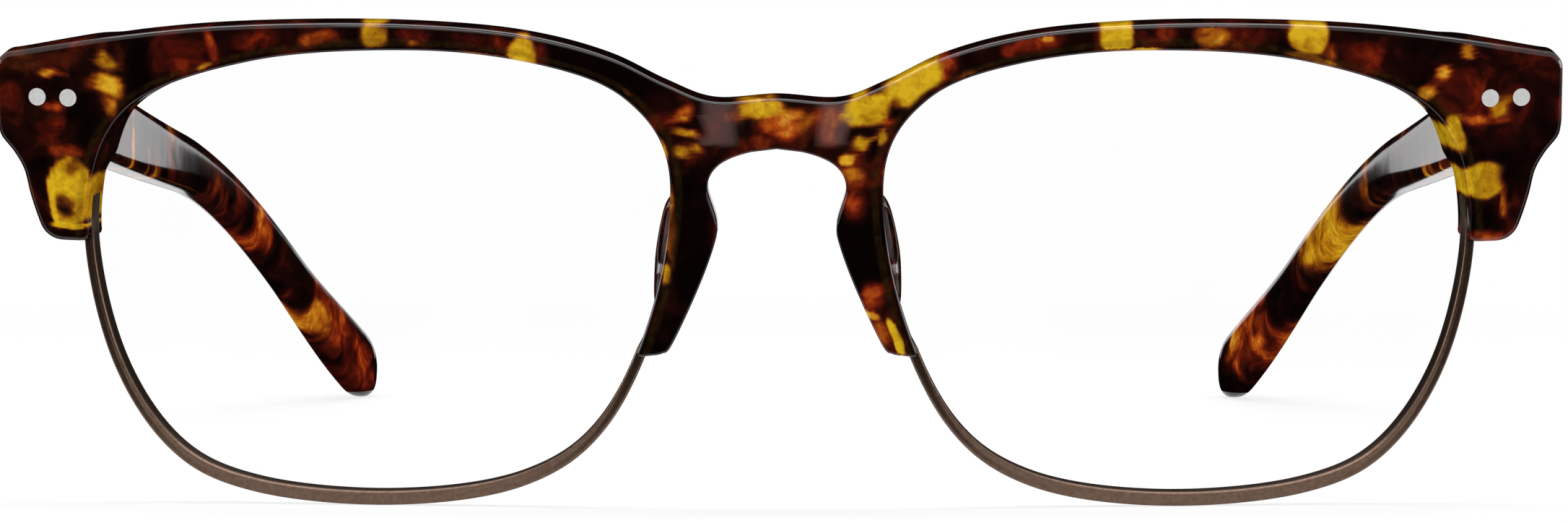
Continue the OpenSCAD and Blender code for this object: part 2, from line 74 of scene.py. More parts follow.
# Where across these bevels grow, and the stretch over which a wall stops leaning in with the bend
BROW_BEVEL_X, END_BEVEL_X, LEAN_FADE = (12, 20), (58, 66), 2.6
# Corner of a lobe at the lens, distance between points of the edge, and least angle between ribs
LOBE_CORNER, EDGE_GAP, RIB_TURN = 0.6, 0.33, 0.0012
# How far the end-piece's back stays ahead of the CAD's, and the temple's butt stands behind it
BLOCK_SHORT, BUTT_GAP = 0.06, 0.1

# Metal rims, their cut ends above the bottoms of the lobes, and how far their middle is drawn into the
# opening: at the sides, what the bottom adds, and the tongues at the nose and at the temple
WIRE_H, WIRE_FROM, WIRE_TO, TONGUE, TONGUE_STEP = 0.8, 1.1, 3.1, 3.1, 0.15
CUT_TEMPORAL, CUT_NASAL = 1.4, 0.9
WIRE_IN, WIRE_IN_LOW, TONGUE_IN = 0.06, 0.22, (-0.05, 0.09)
# The shallow groove along a rim's face: its depth as a share of half the rim's, its place and half width
WIRE_GROOVE, WIRE_GROOVE_AT, WIRE_GROOVE_W = 0.12, 0.35, 0.15

# Temples
TEMPLE_LEN, STRAIGHT, SLOPE, DROP, BEND_R = 144.5, 87.0, 14.0, 23.0, 44.0
TOE_IN, TIP_IN, TIP_ROUND, TIP_SHORT = 2.2, 13.8, 4.6, 0.5
TEMPLE_T, TEMPLE_H, TEMPLE_MID_H, TEMPLE_TIP_H = 4.0, 7.6, 5.7, 8.1
# How far a temple stands in from the front's end, thins towards the bend and thickens behind the ear
TEMPLE_INSET, TEMPLE_THINS, TEMPLE_THICKENS = 0.2, 0.6, 0.5
# Squareness of a temple's section, where 2 is an ellipse: at the hinge and from the bend on
SQUARE_HINGE, SQUARE_BEND = 9.0, 2.6
# The worked acetate bends over a longer stretch than the drawn radius
BEND_EASE = 14.0
# Share of its height above the middle that the top edge loses at the hinge, to stay behind the end-piece
TOP_FALL = 0.26


def sag(x):
    """How far the bent front has curved back at x: a circle of FRONT_R seen from above."""
    return FRONT_R - np.sqrt(FRONT_R**2 - np.asarray(x, float) ** 2)


# Worked out from these, as in the part's source
OPENING_W = LENS_W - 2 * ACETATE_BITE
OPENING_H = LENS_H - ACETATE_BITE - WIRE_BITE
LENS_X = (BRIDGE_W + LENS_W) / 2
LENS_Z = WIRE_H + OPENING_H / 2
TILT = math.asin(LENS_X / FRONT_R)
BROW_Z = WIRE_H + OPENING_H + BROW_WALL
BRIDGE_Z = BROW_Z - BRIDGE_DROP
ARCH_Z = BRIDGE_Z - BRIDGE_H
END_X = LENS_X + LENS_W / 2 + END_W
END_TOP = BROW_Z - 3.3
SHOULDER_Z = HINGE[2] - 3.9
LOBE_X = END_X - 4.0
PAD_X = (BRIDGE_W + ARCH_W) / 4 + 0.9
# The end-piece's flat back, and where the ramp up to it starts and ends, across and up
BLOCK_Y = sag(END_X - 5) + END_T
BLOCK_RAMP_X, BLOCK_RAMP_Z = (END_X - 12.1, END_X - 8.6), (SHOULDER_Z - 3.4, SHOULDER_Z - 1.4)
# The front's ribs turn about this point, from which both of its edges can be seen
POLE = np.array([LENS_X, 30.0])

# Outline of the lens opening, as shares of its half width and half height, from the top nose corner
OPENING = [
    [-0.99, 0.48], [-0.85, 0.79], [-0.57, 0.94], [-0.14, 1.00], [0.42, 0.94], [0.86, 0.71], [1.00, 0.25],
    [0.93, -0.35], [0.73, -0.78], [0.44, -0.96], [-0.05, -1.00], [-0.49, -0.90], [-0.76, -0.63],
    [-0.94, -0.09]]
# Top of the brow: shares of the lens's half width, with the fall below the brow's highest point
BROW = [
    [-0.95, 5.25], [-0.77, 2.85], [-0.55, 1.15], [-0.30, 0.28], [0.06, 0], [0.49, 0.48], [0.84, 1.6]]
# A nose pad's line, down from its top: places from PAD_X, the front's back and the bottom of the nasal
# lobe, each with the pad's radius there
PAD = [
    [0.2, -1.0, 15.0, 0.05], [0.2, -1.0, 14.7, 0.8], [0.4, -1.0, 13.4, 1.5], [0.6, 1.4, 9.8, 2.1],
    [1.1, 1.6, 7.2, 1.85], [1.7, -0.4, 4.6, 1.2], [1.7, -0.6, 3.7, 0.7], [1.7, -0.6, 3.4, 0.05]]
# Edges sharper than this, in degrees, stay sharp in the shading
CREASE = 40


def seat(points):
    """Leans points of the front's frame onto the table and turns millimetres into metres."""
    x, y, z = np.moveaxis(np.asarray(points, float), -1, 0)
    return np.stack([x, y * COS - z * SIN - MIDDLE_Y, z * COS + y * SIN - LOW_Z], axis=-1) / 1000


def back_y(x):
    """The front's back face at x, on the circle that is FRONT_T smaller."""
    return FRONT_R - np.sqrt((FRONT_R - FRONT_T) ** 2 - np.asarray(x, float) ** 2)


def smooth(a, b, s):
    """0 before a, 1 after b, and 3t^2 - 2t^3 between them."""
    t = np.clip((np.asarray(s, float) - a) / (b - a), 0, 1)
    return t * t * (3 - 2 * t)


def curve(points, steps, closed=False):
    """Catmull-Rom curve through the points: each span is the usual cubic of its four neighbours."""
    p = np.asarray(points, float)
    n = len(p)
    spans = n if closed else n - 1
    at = np.arange(spans)[:, None] + np.array([-1, 0, 1, 2])[None, :]
    at = at % n if closed else np.clip(at, 0, n - 1)
    a, b, c, d = (p[at[:, k]][:, None, :] for k in range(4))
    t = (np.arange(steps) / steps)[None, :, None]
    out = 0.5 * (2 * b + (c - a) * t + (2 * a - 5 * b + 4 * c - d) * t**2 + (3 * b - a - 3 * c + d) * t**3)
    out = out.reshape(-1, p.shape[1])
    return out if closed else np.vstack([out, p[-1]])


def arc(centre, radius, start, end, steps=10):
    """Points of a circle about the centre, from one angle in degrees to the other."""
    a = np.radians(np.linspace(start, end, steps + 1))
    return np.asarray(centre) + radius * np.stack([np.cos(a), np.sin(a)], axis=-1)


def along(points):
    """Distance along a line of points, from its start."""
    return np.concatenate([[0], np.cumsum(np.linalg.norm(np.diff(points, axis=0), axis=1))])


def spaced(points, gap):
    """The same line with points about one gap apart."""
    s = along(points)
    at = np.linspace(0, s[-1], max(2, int(round(s[-1] / gap)) + 1))
    return np.stack([np.interp(at, s, points[:, k]) for k in range(points.shape[1])], axis=-1)


def left_of(points):
    """Unit normals on the left of an open line, from the step between each point's neighbours."""
    d = np.gradient(points, axis=0)
    d /= np.linalg.norm(d, axis=1, keepdims=True)
    return np.stack([-d[:, 1], d[:, 0]], axis=-1)


def grid_faces(rows, cols, close_cols=False):
    """Four-sided faces of a grid of rows by cols points, joined round where it closes."""
    i = np.arange(rows - 1)[:, None] * cols
    j = np.arange(cols if close_cols else cols - 1)[None, :]
    k = (j + 1) % cols
    return np.stack([i + j, i + k, i + cols + k, i + cols + j], axis=-1).reshape(-1, 4)


def new_object(name, data):
    """An object of the scene, at the origin."""
    made = bpy.data.objects.new(name, data)
    bpy.context.scene.collection.objects.link(made)
    return made


def piece(name, parts, material, body, stands_for, side=1):
    """A mesh from parts (points, faces, {attribute: values}), merged, turned outwards and shaded smooth
    up to CREASE. It rides on its body in place of the CAD nodes that it stands for."""
    points = np.vstack([p for p, _, _ in parts]) * [side, 1, 1]
    starts = np.cumsum([0] + [len(p) for p, _, _ in parts[:-1]])
    faces = [f for (_, part, _), s in zip(parts, starts) for f in (part + s).tolist()]
    mesh = bpy.data.meshes.new(name)
    mesh.from_pydata(seat(points).tolist(), [], faces)
    for key in parts[0][2]:
        layer = mesh.attributes.new(key, "FLOAT", "POINT")
        layer.data.foreach_set("value", np.concatenate([a[key] for _, _, a in parts]).astype(np.float32))
    shell = bmesh.new()
    shell.from_mesh(mesh)
    bmesh.ops.remove_doubles(shell, verts=shell.verts, dist=2e-6)
    bmesh.ops.dissolve_degenerate(shell, edges=shell.edges, dist=1e-7)
    bmesh.ops.recalc_face_normals(shell, faces=shell.faces)
    shell.to_mesh(mesh)
    shell.free()
    mesh.shade_smooth()
    mesh.set_sharp_from_angle(angle=math.radians(CREASE))
    mesh.materials.append(material)
    thing = new_object(name, mesh)
    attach(thing, body)
    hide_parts(*stands_for)


def rings_part(points, values=None):
    """A piece's only part: a grid of closed rings of points, with its attributes."""
    return [(points.reshape(-1, 3), grid_faces(points.shape[0], points.shape[1], True), values or {})]


def pattern(glow, red, groove=0.0, painted_reflection=0.0):
    """The acetate's four attributes as flat arrays, one value for each point of glow."""
    glow = np.ravel(glow)
    rest = {"red": np.ravel(red), "groove": groove, "painted_reflection": painted_reflection}
    return {"glow": glow, **{key: value + 0 * glow for key, value in rest.items()}}


def side_name(side):
    """The photograph's own side: left is at -X."""
    return "left" if side < 0 else "right"


# Colours and nodes


def linear(hex_value):
    """An sRGB hex colour as linear red, green and blue, with an alpha of 1."""
    rgb = [int(hex_value[i:i + 2], 16) / 255 for i in (1, 3, 5)]
    return [c / 12.92 if c <= 0.04045 else ((c + 0.055) / 1.055) ** 2.4 for c in rgb] + [1.0]


def add(tree, kind, settings=None, links=None, stops=()):
    """Adds a shader node. Settings are its own values. Links set its sockets, by name or number, to a
    value or to another node's output. Stops are a ramp's places with their hex colours."""
    made = tree.nodes.new("ShaderNode" + kind)
    for key, value in (settings or {}).items():
        setattr(made, key, value)
    for key, value in (links or {}).items():
        if isinstance(value, bpy.types.NodeSocket):
            tree.links.new(value, made.inputs[key])
        else:
            made.inputs[key].default_value = value
    for i, (place, hex_value) in enumerate(stops):
        bands = made.color_ramp.elements
        band = bands[i] if i < 2 else bands.new(place)
        band.position = place
        band.color = linear(hex_value)
    return made


def new_material(name):
    """An empty node material and its output node."""
    made = bpy.data.materials.new(name)
    made.use_nodes = True
    made.node_tree.nodes.clear()
    return made, made.node_tree, made.node_tree.nodes.new("ShaderNodeOutputMaterial")


# Two families of acetate colour, each from the black ground to the clearest part
AMBER = [(0.0, "#080302"), (0.2, "#190b05"), (0.4, "#451c0a"),
         (0.6, "#7d470a"), (0.8, "#b4820d"), (1.0, "#dab11a")]
RED = [(0.0, "#080202"), (0.2, "#1f0705"), (0.4, "#470f07"),
       (0.6, "#7c220a"), (0.8, "#b44d12"), (1.0, "#dd9a34")]
# The lens groove seen through the acetate, and the studio's reflection painted on the shoulders of the
# bridge
OLIVE = [(0.0, "#140a05"), (0.3, "#3a2c0c"), (0.6, "#5d4d16")]
PAINTED_REFLECTION_TONE = "#7a5d58"
# Sizes in metres: flames of pigment, the smoke inside them, waves of the polish and a lens's faint haze
FLAME, SMOKE, WAVE, HAZE = 0.0036, 0.0007, 0.004, 0.012


def tortoise_acetate():
    """Cellulose acetate, milled from a laminated block and tumbled: deep gloss over cloudy patches of
    amber, red-brown and black that run into each other, with a pale reflection painted on the bridge's
    shoulders."""
    made, tree, out = new_material("tortoise_acetate_polished")
    place = add(tree, "TexCoord").outputs["Object"]
    glow, red, groove, painted_reflection = (
        add(tree, "Attribute", {"attribute_name": name}).outputs["Fac"]
        for name in ("glow", "red", "groove", "painted_reflection"))
    # Flames of pigment push the edges of the patches about, and finer smoke is left inside them
    flame = add(tree, "TexNoise", links={
        "Vector": place, "Scale": 1 / FLAME, "Detail": 4.0, "Roughness": 0.5,
        "Distortion": 0.8}).outputs["Fac"]
    smoke = add(tree, "TexNoise", links={
        "Vector": place, "Scale": 1 / SMOKE, "Detail": 3.0, "Distortion": 0.6}).outputs["Fac"]
    push = add(tree, "Math", {"operation": "MULTIPLY_ADD"}, {0: flame, 1: 1.2, 2: -0.63}).outputs[0]
    pushed = add(tree, "Math", {"operation": "ADD"}, {0: glow, 1: push}).outputs[0]
    edge = add(tree, "MapRange", {"interpolation_type": "SMOOTHSTEP"},
               {0: pushed, 1: -0.16, 2: 0.98, 3: 0.0, 4: 1.0}).outputs[0]
    fine = add(tree, "Math", {"operation": "MULTIPLY_ADD"}, {0: smoke, 1: 0.5, 2: 0.72}).outputs[0]
    tint = add(tree, "Math", {"operation": "MULTIPLY"}, {0: edge, 1: fine}).outputs[0]
    amber_tone = add(tree, "ValToRGB", links={0: tint}, stops=AMBER).outputs[0]
    red_tone = add(tree, "ValToRGB", links={0: tint}, stops=RED).outputs[0]
    base = add(tree, "Mix", {"data_type": "RGBA"},
               {0: red, 6: amber_tone, 7: red_tone}).outputs[2]
    # The lens groove shows through the acetate as a faint olive band
    deep = add(tree, "Math", {"operation": "MULTIPLY_ADD"}, {0: smoke, 1: 0.8, 2: -0.22}).outputs[0]
    olive = add(tree, "ValToRGB", links={0: deep}, stops=OLIVE).outputs[0]
    band = add(tree, "Math", {"operation": "MULTIPLY"}, {0: groove, 1: 0.3}).outputs[0]
    base = add(tree, "Mix", {"data_type": "RGBA"}, {0: band, 6: base, 7: olive}).outputs[2]
    # Painted reflection: the bridge's shoulders are painted paler and greyer where the studio's reflection
    # lies, with an edge that is sharp on the outer side
    base = add(tree, "Mix", {"data_type": "RGBA"},
               {0: painted_reflection, 6: base, 7: linear(PAINTED_REFLECTION_TONE)}).outputs[2]
    # Tumbling leaves the polish a little uneven over a few millimetres
    wave = add(tree, "TexNoise", links={"Vector": place, "Scale": 1 / WAVE, "Detail": 1.0})
    bump = add(tree, "Bump", links={
        "Strength": 0.12, "Distance": 0.0001, "Height": wave.outputs["Fac"]})
    shader = add(tree, "BsdfPrincipled", links={
        "Base Color": base, "Roughness": 0.09, "IOR": 1.48, "Normal": bump.outputs[0]})
    tree.links.new(shader.outputs[0], out.inputs[0])
    return made


def metal(name, grain_size, detail, tones, roughness, metallic=1.0):
    """A metal whose tone wavers between two colours over its grain. The grain's size is in metres, and
    is drawn coarser than the marks on the real metal, which would be too fine to show."""
    made, tree, out = new_material(name)
    place = add(tree, "TexCoord").outputs["Object"]
    grain = add(tree, "TexNoise", links={
        "Vector": place, "Scale": 1 / grain_size, "Detail": detail})
    base = add(tree, "ValToRGB", links={0: grain.outputs["Fac"]},
               stops=[(0.3, tones[0]), (0.7, tones[1])]).outputs[0]
    shader = add(tree, "BsdfPrincipled", links={
        "Base Color": base, "Metallic": metallic, "Roughness": roughness})
    tree.links.new(shader.outputs[0], out.inputs[0])
    return made


def clear_lens():
    """Clear lens resin, cast and coated against reflections: all but invisible, with a thin gloss at
    grazing angles."""
    made, tree, out = new_material("lens_resin_clear")
    place = add(tree, "TexCoord").outputs["Object"]
    haze = add(tree, "TexNoise", links={"Vector": place, "Scale": 1 / HAZE, "Detail": 1.0})
    tone = add(tree, "ValToRGB", links={0: haze.outputs["Fac"]},
               stops=[(0.2, "#fefefe"), (0.8, "#ffffff")]).outputs[0]
    clear = add(tree, "BsdfTransparent", links={0: tone}).outputs[0]
    gloss = add(tree, "BsdfGlossy", links={"Color": (1, 1, 1, 1), "Roughness": 0.02}).outputs[0]
    # Both faces reflect alike: nothing seen straight on, and everything at a grazing angle
    slant = add(tree, "LayerWeight", links={"Blend": 0.5}).outputs["Facing"]
    edge = add(tree, "Math", {"operation": "POWER"}, {0: slant, 1: 5.0}).outputs[0]
    mixed = add(tree, "MixShader", links={0: edge, 1: clear, 2: gloss}).outputs[0]
    tree.links.new(mixed, out.inputs[0])
    return made


ACETATE = tortoise_acetate()
# Nickel silver wire, drawn, soldered and bronze plated: a satin brown with fine marks of the draw
BRONZE = metal("nickel_silver_bronze_plated", 0.0004, 3.0, ("#644f43", "#745f52"), 0.3)
# Nickel silver hinge stampings, tumbled bright: pale metal with faint rounding marks
HINGE_METAL = metal("nickel_silver_tumbled", 0.0005, 3.0, ("#b9b8b6", "#d6d5d2"), 0.24)
# Rivet heads, turned and barrelled to a soft bright finish: pale metal that catches light all round
RIVET = metal("nickel_silver_rivet_heads", 0.0003, 3.0, ("#e4e4e2", "#f6f6f4"), 0.5, metallic=0.6)
# Drawn nickel silver strip inside the acetate, with marks left by the die
CORE = metal("nickel_silver_core_strip", 0.0008, 2.0, ("#8d8c8a", "#a9a8a5"), 0.35)
LENS = clear_lens()


# Tortoise pattern

# Points along a side of the clouds' lattice, which then repeats, and a shift that keeps places above 0
LATTICE, LATTICE_SHIFT = 97, 4000
# Clouds that push the patches' edges across and up: how far, and their size, in millimetres
PUSH_ACROSS, PUSH_UP = (0.35, 1.7), (0.28, 1.5)
# The faint ground between patches: its light, how far that wavers over how many millimetres, its redness
GROUND, GROUND_SWING, GROUND_SIZE, GROUND_RED = 0.14, 0.15, 5.5, 0.9
# A patch is between an oval, which would be 2, and a rectangle
BLOCKINESS = 2.5
# The nose pads' light and redness all over
PAD_GLOW, PAD_RED = 0.25, 0.8
# The temples' amber threads: how strong, where along they fade out, their width, and the share of a
# height that counts, which draws them out upright
THREAD, THREAD_FADE, THREAD_W, THREAD_UP = 0.75, (50, 85), 1.6, 0.2
# The first random seeds: of the front's and the temples' clouds, and of the temples' threads
FRONT_SEED, TEMPLE_SEED, THREAD_SEED = 3, 31, 21


def cloud(x, z, size, seed):
    """Smooth random heights from -1 to 1: values on a square lattice of one size, joined by 3t^2 - 2t^3."""
    lattice = np.random.default_rng(seed).uniform(-1, 1, (LATTICE, LATTICE))
    u, v = x / size + LATTICE_SHIFT, z / size + LATTICE_SHIFT
    i, j = np.floor(u).astype(int), np.floor(v).astype(int)
    s, t = smooth(0, 1, u - i), smooth(0, 1, v - j)
    i, j, i_next, j_next = i % LATTICE, j % LATTICE, (i + 1) % LATTICE, (j + 1) % LATTICE
    low = lattice[i, j] * (1 - s) + lattice[i_next, j] * s
    high = lattice[i, j_next] * (1 - s) + lattice[i_next, j_next] * s
    return low * (1 - t) + high * t


def patch_field(x, z, patches, seed):
    """Light through the acetate at x, z, and how red it is. Each patch is an oval block turned by its
    angle, full inside and fading over its softness, on a place that clouds have pushed about. Bright
    ones add by the greatest, dark ones take away, and a faint red-brown ground lies under them."""
    px = x + PUSH_ACROSS[0] * cloud(x, z, PUSH_ACROSS[1], seed)
    pz = z + PUSH_UP[0] * cloud(x, z, PUSH_UP[1], seed + 2)
    bright = GROUND + GROUND_SWING * cloud(x, z, GROUND_SIZE, seed + 4)
    redness = np.full_like(x, GROUND_RED)
    dark = np.zeros_like(x)
    for across, up, half_w, half_h, turn, strength, softness, red in patches:
        a = math.radians(turn)
        dx, dz = px - across, pz - up
        u = (dx * math.cos(a) + dz * math.sin(a)) / half_w
        v = (dz * math.cos(a) - dx * math.sin(a)) / half_h
        far = (np.abs(u) ** BLOCKINESS + np.abs(v) ** BLOCKINESS) ** (1 / BLOCKINESS)
        share = abs(strength) * (1 - smooth(1 - softness, 1.08 + 1.2 * softness, far))
        if strength > 0:
            redness = redness + (red - redness) * smooth(-0.15, 0.15, share - bright)
            bright = np.maximum(bright, share)
        else:
            dark = np.maximum(dark, share)
    return np.clip(bright - dark, -0.2, 1), redness


# Patches, listed in millimetres: place across and up, half width, half height, turn in
# degrees, strength, softness, and whether the patch is red (1) or amber (0). A strength below 0 darkens.
# Heights in the front's lists are from a level PATCH_LEVEL below the rims.
PATCH_LEVEL = 0.8
LEFT_END = [
    (-69, 41.3, 1.6, 1.1, 0, 0.42, 0.6, 0.1), (-66, 41.4, 3, 1, 0, 0.38, 0.6, 0.6),
    (-66.7, 40.2, 0.6, 0.45, 0, 0.92, 0.55, 0.5), (-65.6, 40.2, 0.9, 0.35, 0, 0.6, 0.5, 0.9),
    (-66, 37.2, 1.1, 0.4, 0, 0.45, 0.5, 1), (-61.1, 41.3, 1.1, 0.8, -45, 0.62, 0.5, 0.1),
    (-61, 39.2, 1.6, 0.9, -20, 0.86, 0.6, 0.35), (-62.2, 39.3, 1.3, 0.8, 0, 0.6, 0.6, 0.6),
    (-60.9, 37.3, 0.9, 0.8, 40, 0.55, 0.5, 0.5), (-58, 40.2, 1.1, 2.6, 0, -0.3, 0.3, 0),
    (-64.7, 29.1, 1.8, 3.1, 0, 0.76, 0.16, 0), (-66.2, 28.6, 0.35, 2.7, 3, 0.95, 0.3, 0),
    (-64.8, 26, 1.8, 0.35, 0, 0.95, 0.3, 0), (-65.1, 28, 0.75, 1, 0, -0.4, 0.5, 0),
    (-64.5, 31.5, 0.9, 0.5, 30, -0.3, 0.5, 0), (-65, 32.9, 1.6, 0.6, 0, 0.45, 0.5, 0.9),
    (-66, 34.8, 2.5, 1.3, 0, 0.22, 0.5, 1)]
LEFT_BROW = [
    (-54.5, 42, 4.2, 1.9, 5, 0.26, 0.35, 1), (-51.2, 42.8, 0.5, 1.6, 3, 0.52, 0.45, 1),
    (-46.5, 43.4, 3.6, 0.9, 3, 0.3, 0.5, 1), (-52.1, 41.1, 0.8, 0.2, 20, 0.65, 0.6, 0.5),
    (-41.5, 43.9, 1.9, 0.7, 8, 0.58, 0.6, 0.8), (-36.2, 44.4, 1.5, 1.4, 0, 0.84, 0.28, 0.1),
    (-33.2, 44.2, 1.9, 0.9, 0, 0.45, 0.5, 1), (-32.6, 43.8, 0.5, 0.3, 0, 0.75, 0.6, 0.7),
    (-32.7, 42.5, 2.3, 0.45, -3, 0.5, 0.4, 0), (-26.3, 42, 3.4, 0.45, -9, 0.54, 0.35, 0),
    (-27, 43.6, 3.5, 0.9, -4, 0.3, 0.5, 1), (-22.9, 42.9, 1.25, 1.4, 8, 0.84, 0.3, 0.1),
    (-20.9, 42.7, 1.1, 1.1, 0, 0.42, 0.5, 1), (-16, 41.2, 4.4, 2.2, -24, -0.42, 0.5, 0),
    (-13.6, 39.6, 1.2, 0.25, -35, 0.75, 0.5, 0.3), (-13.2, 39.2, 1.6, 0.9, -35, 0.35, 0.6, 0.3)]
LEFT_NOSE = [
    (-8.4, 37.3, 1, 0.9, 0, 0.64, 0.5, 0.85), (-8.5, 37, 0.5, 0.35, 0, 0.85, 0.6, 0.5),
    (-8.4, 35.6, 1.1, 0.35, -5, 0.82, 0.5, 0.2), (-10.3, 34.2, 0.5, 1.2, 12, 0.7, 0.5, 0),
    (-8.8, 34, 0.7, 0.6, 0, 0.64, 0.5, 0.1), (-7.4, 34.3, 0.4, 0.5, 0, 0.6, 0.5, 0.2),
    (-8.6, 32, 1, 0.4, 0, 0.4, 0.5, 0.3), (-9.7, 27.5, 0.5, 3.6, 3, 0.74, 0.5, 0.25),
    (-10.1, 22.8, 0.5, 1.1, 0, 0.8, 0.5, 0.1), (-9.5, 20.9, 0.8, 1.8, 10, 0.35, 0.6, 0.7),
    (-11, 15.9, 1.6, 0.7, 0, -0.3, 0.6, 0.5), (-7.7, 27, 2, 4.6, -6, -0.42, 0.5, 0)]
BRIDGE = [
    (-1.6, 37.8, 1.9, 0.9, 0, 0.88, 0.4, 0.15), (-3.9, 37.2, 0.8, 0.6, 0, 0.58, 0.6, 0.5),
    (0.2, 36.4, 1.7, 1.2, -30, 0.58, 0.5, 0.95), (1.3, 37.4, 1.1, 0.5, 0, 0.6, 0.5, 0.7),
    (2.5, 35.6, 0.5, 1.8, 0, 0.45, 0.5, 0.4), (-0.5, 34.9, 3.4, 0.8, 0, 0.34, 0.5, 0.8),
    (4.6, 36.2, 1.3, 2, 0, 0.5, 0.5, 0.8), (-5.4, 36, 1, 1.8, 0, 0.24, 0.5, 1)]
RIGHT_NOSE = [
    (8.2, 37.7, 2.3, 1.5, 15, 0.9, 0.25, 0), (12.2, 40.1, 3.1, 1.5, 31, 0.9, 0.25, 0.05),
    (10.6, 37.9, 0.7, 0.9, -20, -0.45, 0.5, 0), (9.9, 37, 0.9, 0.9, 30, 0.5, 0.5, 1),
    (15.2, 41.5, 1, 1.1, 30, 0.55, 0.4, 1), (7.5, 34.7, 0.7, 0.6, 0, 0.88, 0.5, 0),
    (9.4, 35.4, 0.6, 0.9, 20, 0.7, 0.5, 0), (8.4, 34.2, 0.45, 0.9, 0, -0.3, 0.5, 0),
    (6.2, 33.4, 0.55, 0.5, 0, 0.88, 0.5, 0.4), (7, 31.9, 1.3, 0.8, 0, 0.42, 0.5, 0.6),
    (6.9, 29.2, 0.9, 0.7, 0, 0.62, 0.7, 1), (6.9, 29, 1.4, 1.3, 0, 0.42, 0.6, 1),
    (7.7, 25, 2, 2.7, 8, -0.4, 0.5, 0), (8.6, 21, 1, 1.5, 15, 0.5, 0.55, 1),
    (8.3, 18.9, 0.9, 0.35, -20, 0.75, 0.6, 0.5), (9.5, 17.2, 1.3, 1.1, 20, 0.42, 0.5, 0.8),
    (10.9, 17, 0.45, 1.9, 24, 0.88, 0.18, 0)]
RIGHT_BROW = [
    (17, 41, 1.2, 0.3, 25, 0.6, 0.5, 0.2), (23.3, 43.6, 2.2, 0.8, 10, 0.5, 0.5, 1),
    (24.2, 44, 0.5, 0.35, 0, 0.78, 0.6, 0.7), (20.9, 43.1, 0.8, 0.6, 0, 0.4, 0.5, 1),
    (18.5, 42.4, 1.6, 1, 20, -0.2, 0.5, 0), (29, 44, 0.8, 1.2, 0, 0.4, 0.5, 1),
    (30.5, 44.4, 1.75, 1.4, 0, 0.9, 0.22, 0.05), (32.2, 42.6, 3.4, 0.5, 0, 0.62, 0.35, 0),
    (38.2, 42.5, 2.2, 0.45, 0, 0.55, 0.35, 0), (34.2, 44.4, 1.9, 0.9, 0, 0.38, 0.5, 0.9),
    (39, 44.1, 1.3, 0.9, 0, 0.68, 0.5, 0.6), (43.6, 43.6, 2.6, 1.3, 0, 0.3, 0.5, 0.9),
    (47.8, 43.9, 1.8, 1.5, -20, 0.9, 0.22, 0.1), (49.6, 42.7, 1.2, 0.8, -40, 0.6, 0.5, 0.7),
    (48, 41.9, 2.8, 0.5, -12, 0.66, 0.35, 0), (54, 41.6, 5, 1.6, -10, 0.28, 0.5, 1)]
RIGHT_END = [
    (62.6, 42.2, 0.65, 0.8, 0, 0.68, 0.5, 0.4), (60.3, 40.4, 0.75, 0.6, 0, 0.82, 0.55, 0.65),
    (58.8, 38.4, 0.9, 0.7, -40, 0.8, 0.5, 0.4), (59.5, 39.4, 1.6, 0.7, 50, 0.42, 0.6, 0.8),
    (60.8, 37.3, 1.6, 0.9, -45, 0.42, 0.6, 0.8), (61.7, 34.6, 0.8, 1.7, 12, 0.86, 0.35, 0),
    (64.3, 36, 2.6, 0.5, 5, 0.5, 0.5, 0.9), (65.4, 36.9, 0.9, 0.7, 0, 0.75, 0.5, 0.2),
    (66.2, 37.8, 0.8, 0.5, 0, 0.55, 0.5, 0.4), (64.2, 30.4, 2.1, 1.6, 0, 0.88, 0.2, 0),
    (66.3, 28.8, 0.4, 2, 0, 0.6, 0.4, 0.6), (64.2, 27.1, 1.6, 0.9, 0, -0.3, 0.5, 0),
    (64.6, 25.2, 1.8, 0.7, 0, 0.5, 0.5, 0.9), (67, 27.2, 0.7, 2.2, -8, 0.42, 0.5, 1),
    (64, 38, 5, 4, 0, 0.24, 0.6, 1)]
FRONT_PATCHES = LEFT_END + LEFT_BROW + LEFT_NOSE + BRIDGE + RIGHT_NOSE + RIGHT_BROW + RIGHT_END
# The same for the temples, along them from the hinge and up from their middle
LEFT_TEMPLE = [
    (103, 0, 3.5, 5, 20, 0.6, 0.5, 0.95), (113, 0, 5, 6, 0, -0.2, 0.5, 0),
    (127, 1, 7, 3, -20, 0.5, 0.5, 0.95), (125, -2, 3, 2, 0, 0.68, 0.5, 0.6),
    (138, -1, 4, 3, 0, 0.5, 0.5, 1), (143, 2, 4, 3, 0, -0.3, 0.5, 0), (86, 0, 5, 3, 0, 0.3, 0.6, 0.8)]
RIGHT_TEMPLE = [
    (103, 0, 9, 6, 0, 0.7, 0.35, 0.25), (86, 1, 2.5, 4, 0, 0.5, 0.5, 0.3), (94, -1, 3, 3, 0, -0.3, 0.5, 0),
    (121, 0, 3.5, 6, 0, -0.3, 0.4, 0), (131, 0, 6, 5, 0, 0.54, 0.5, 0.9), (136, 1, 2, 2, 0, 0.7, 0.5, 0.7),
    (143, 0, 3, 5, 0, -0.3, 0.5, 0)]


# The front


def opening_ring(steps=24):
    """Closed line of the lens opening about the lens's centre, clockwise from the top nose corner."""
    return curve([[x * OPENING_W / 2, z * OPENING_H / 2] for x, z in OPENING], steps, closed=True)


def lens_place(q, depth):
    """A point of the lens's own plane, at a depth behind the front's face. The plane is turned by TILT,
    and a point keeps its angle about the centre of the front's bend as it goes deeper."""
    v = FRONT_R - np.sqrt(FRONT_R**2 - q[:, 0] ** 2)
    x = LENS_X + q[:, 0] * math.cos(TILT) - v * math.sin(TILT)
    return bend(x, LENS_Z + q[:, 1], depth)


def bend(x, z, depth):
    """A point x, z of the front's face, moved straight into the bent sheet by a depth."""
    share = (FRONT_R - depth) / FRONT_R
    return np.stack([x * share, FRONT_R - np.sqrt(FRONT_R**2 - x**2) * share, z + 0 * x], axis=-1)


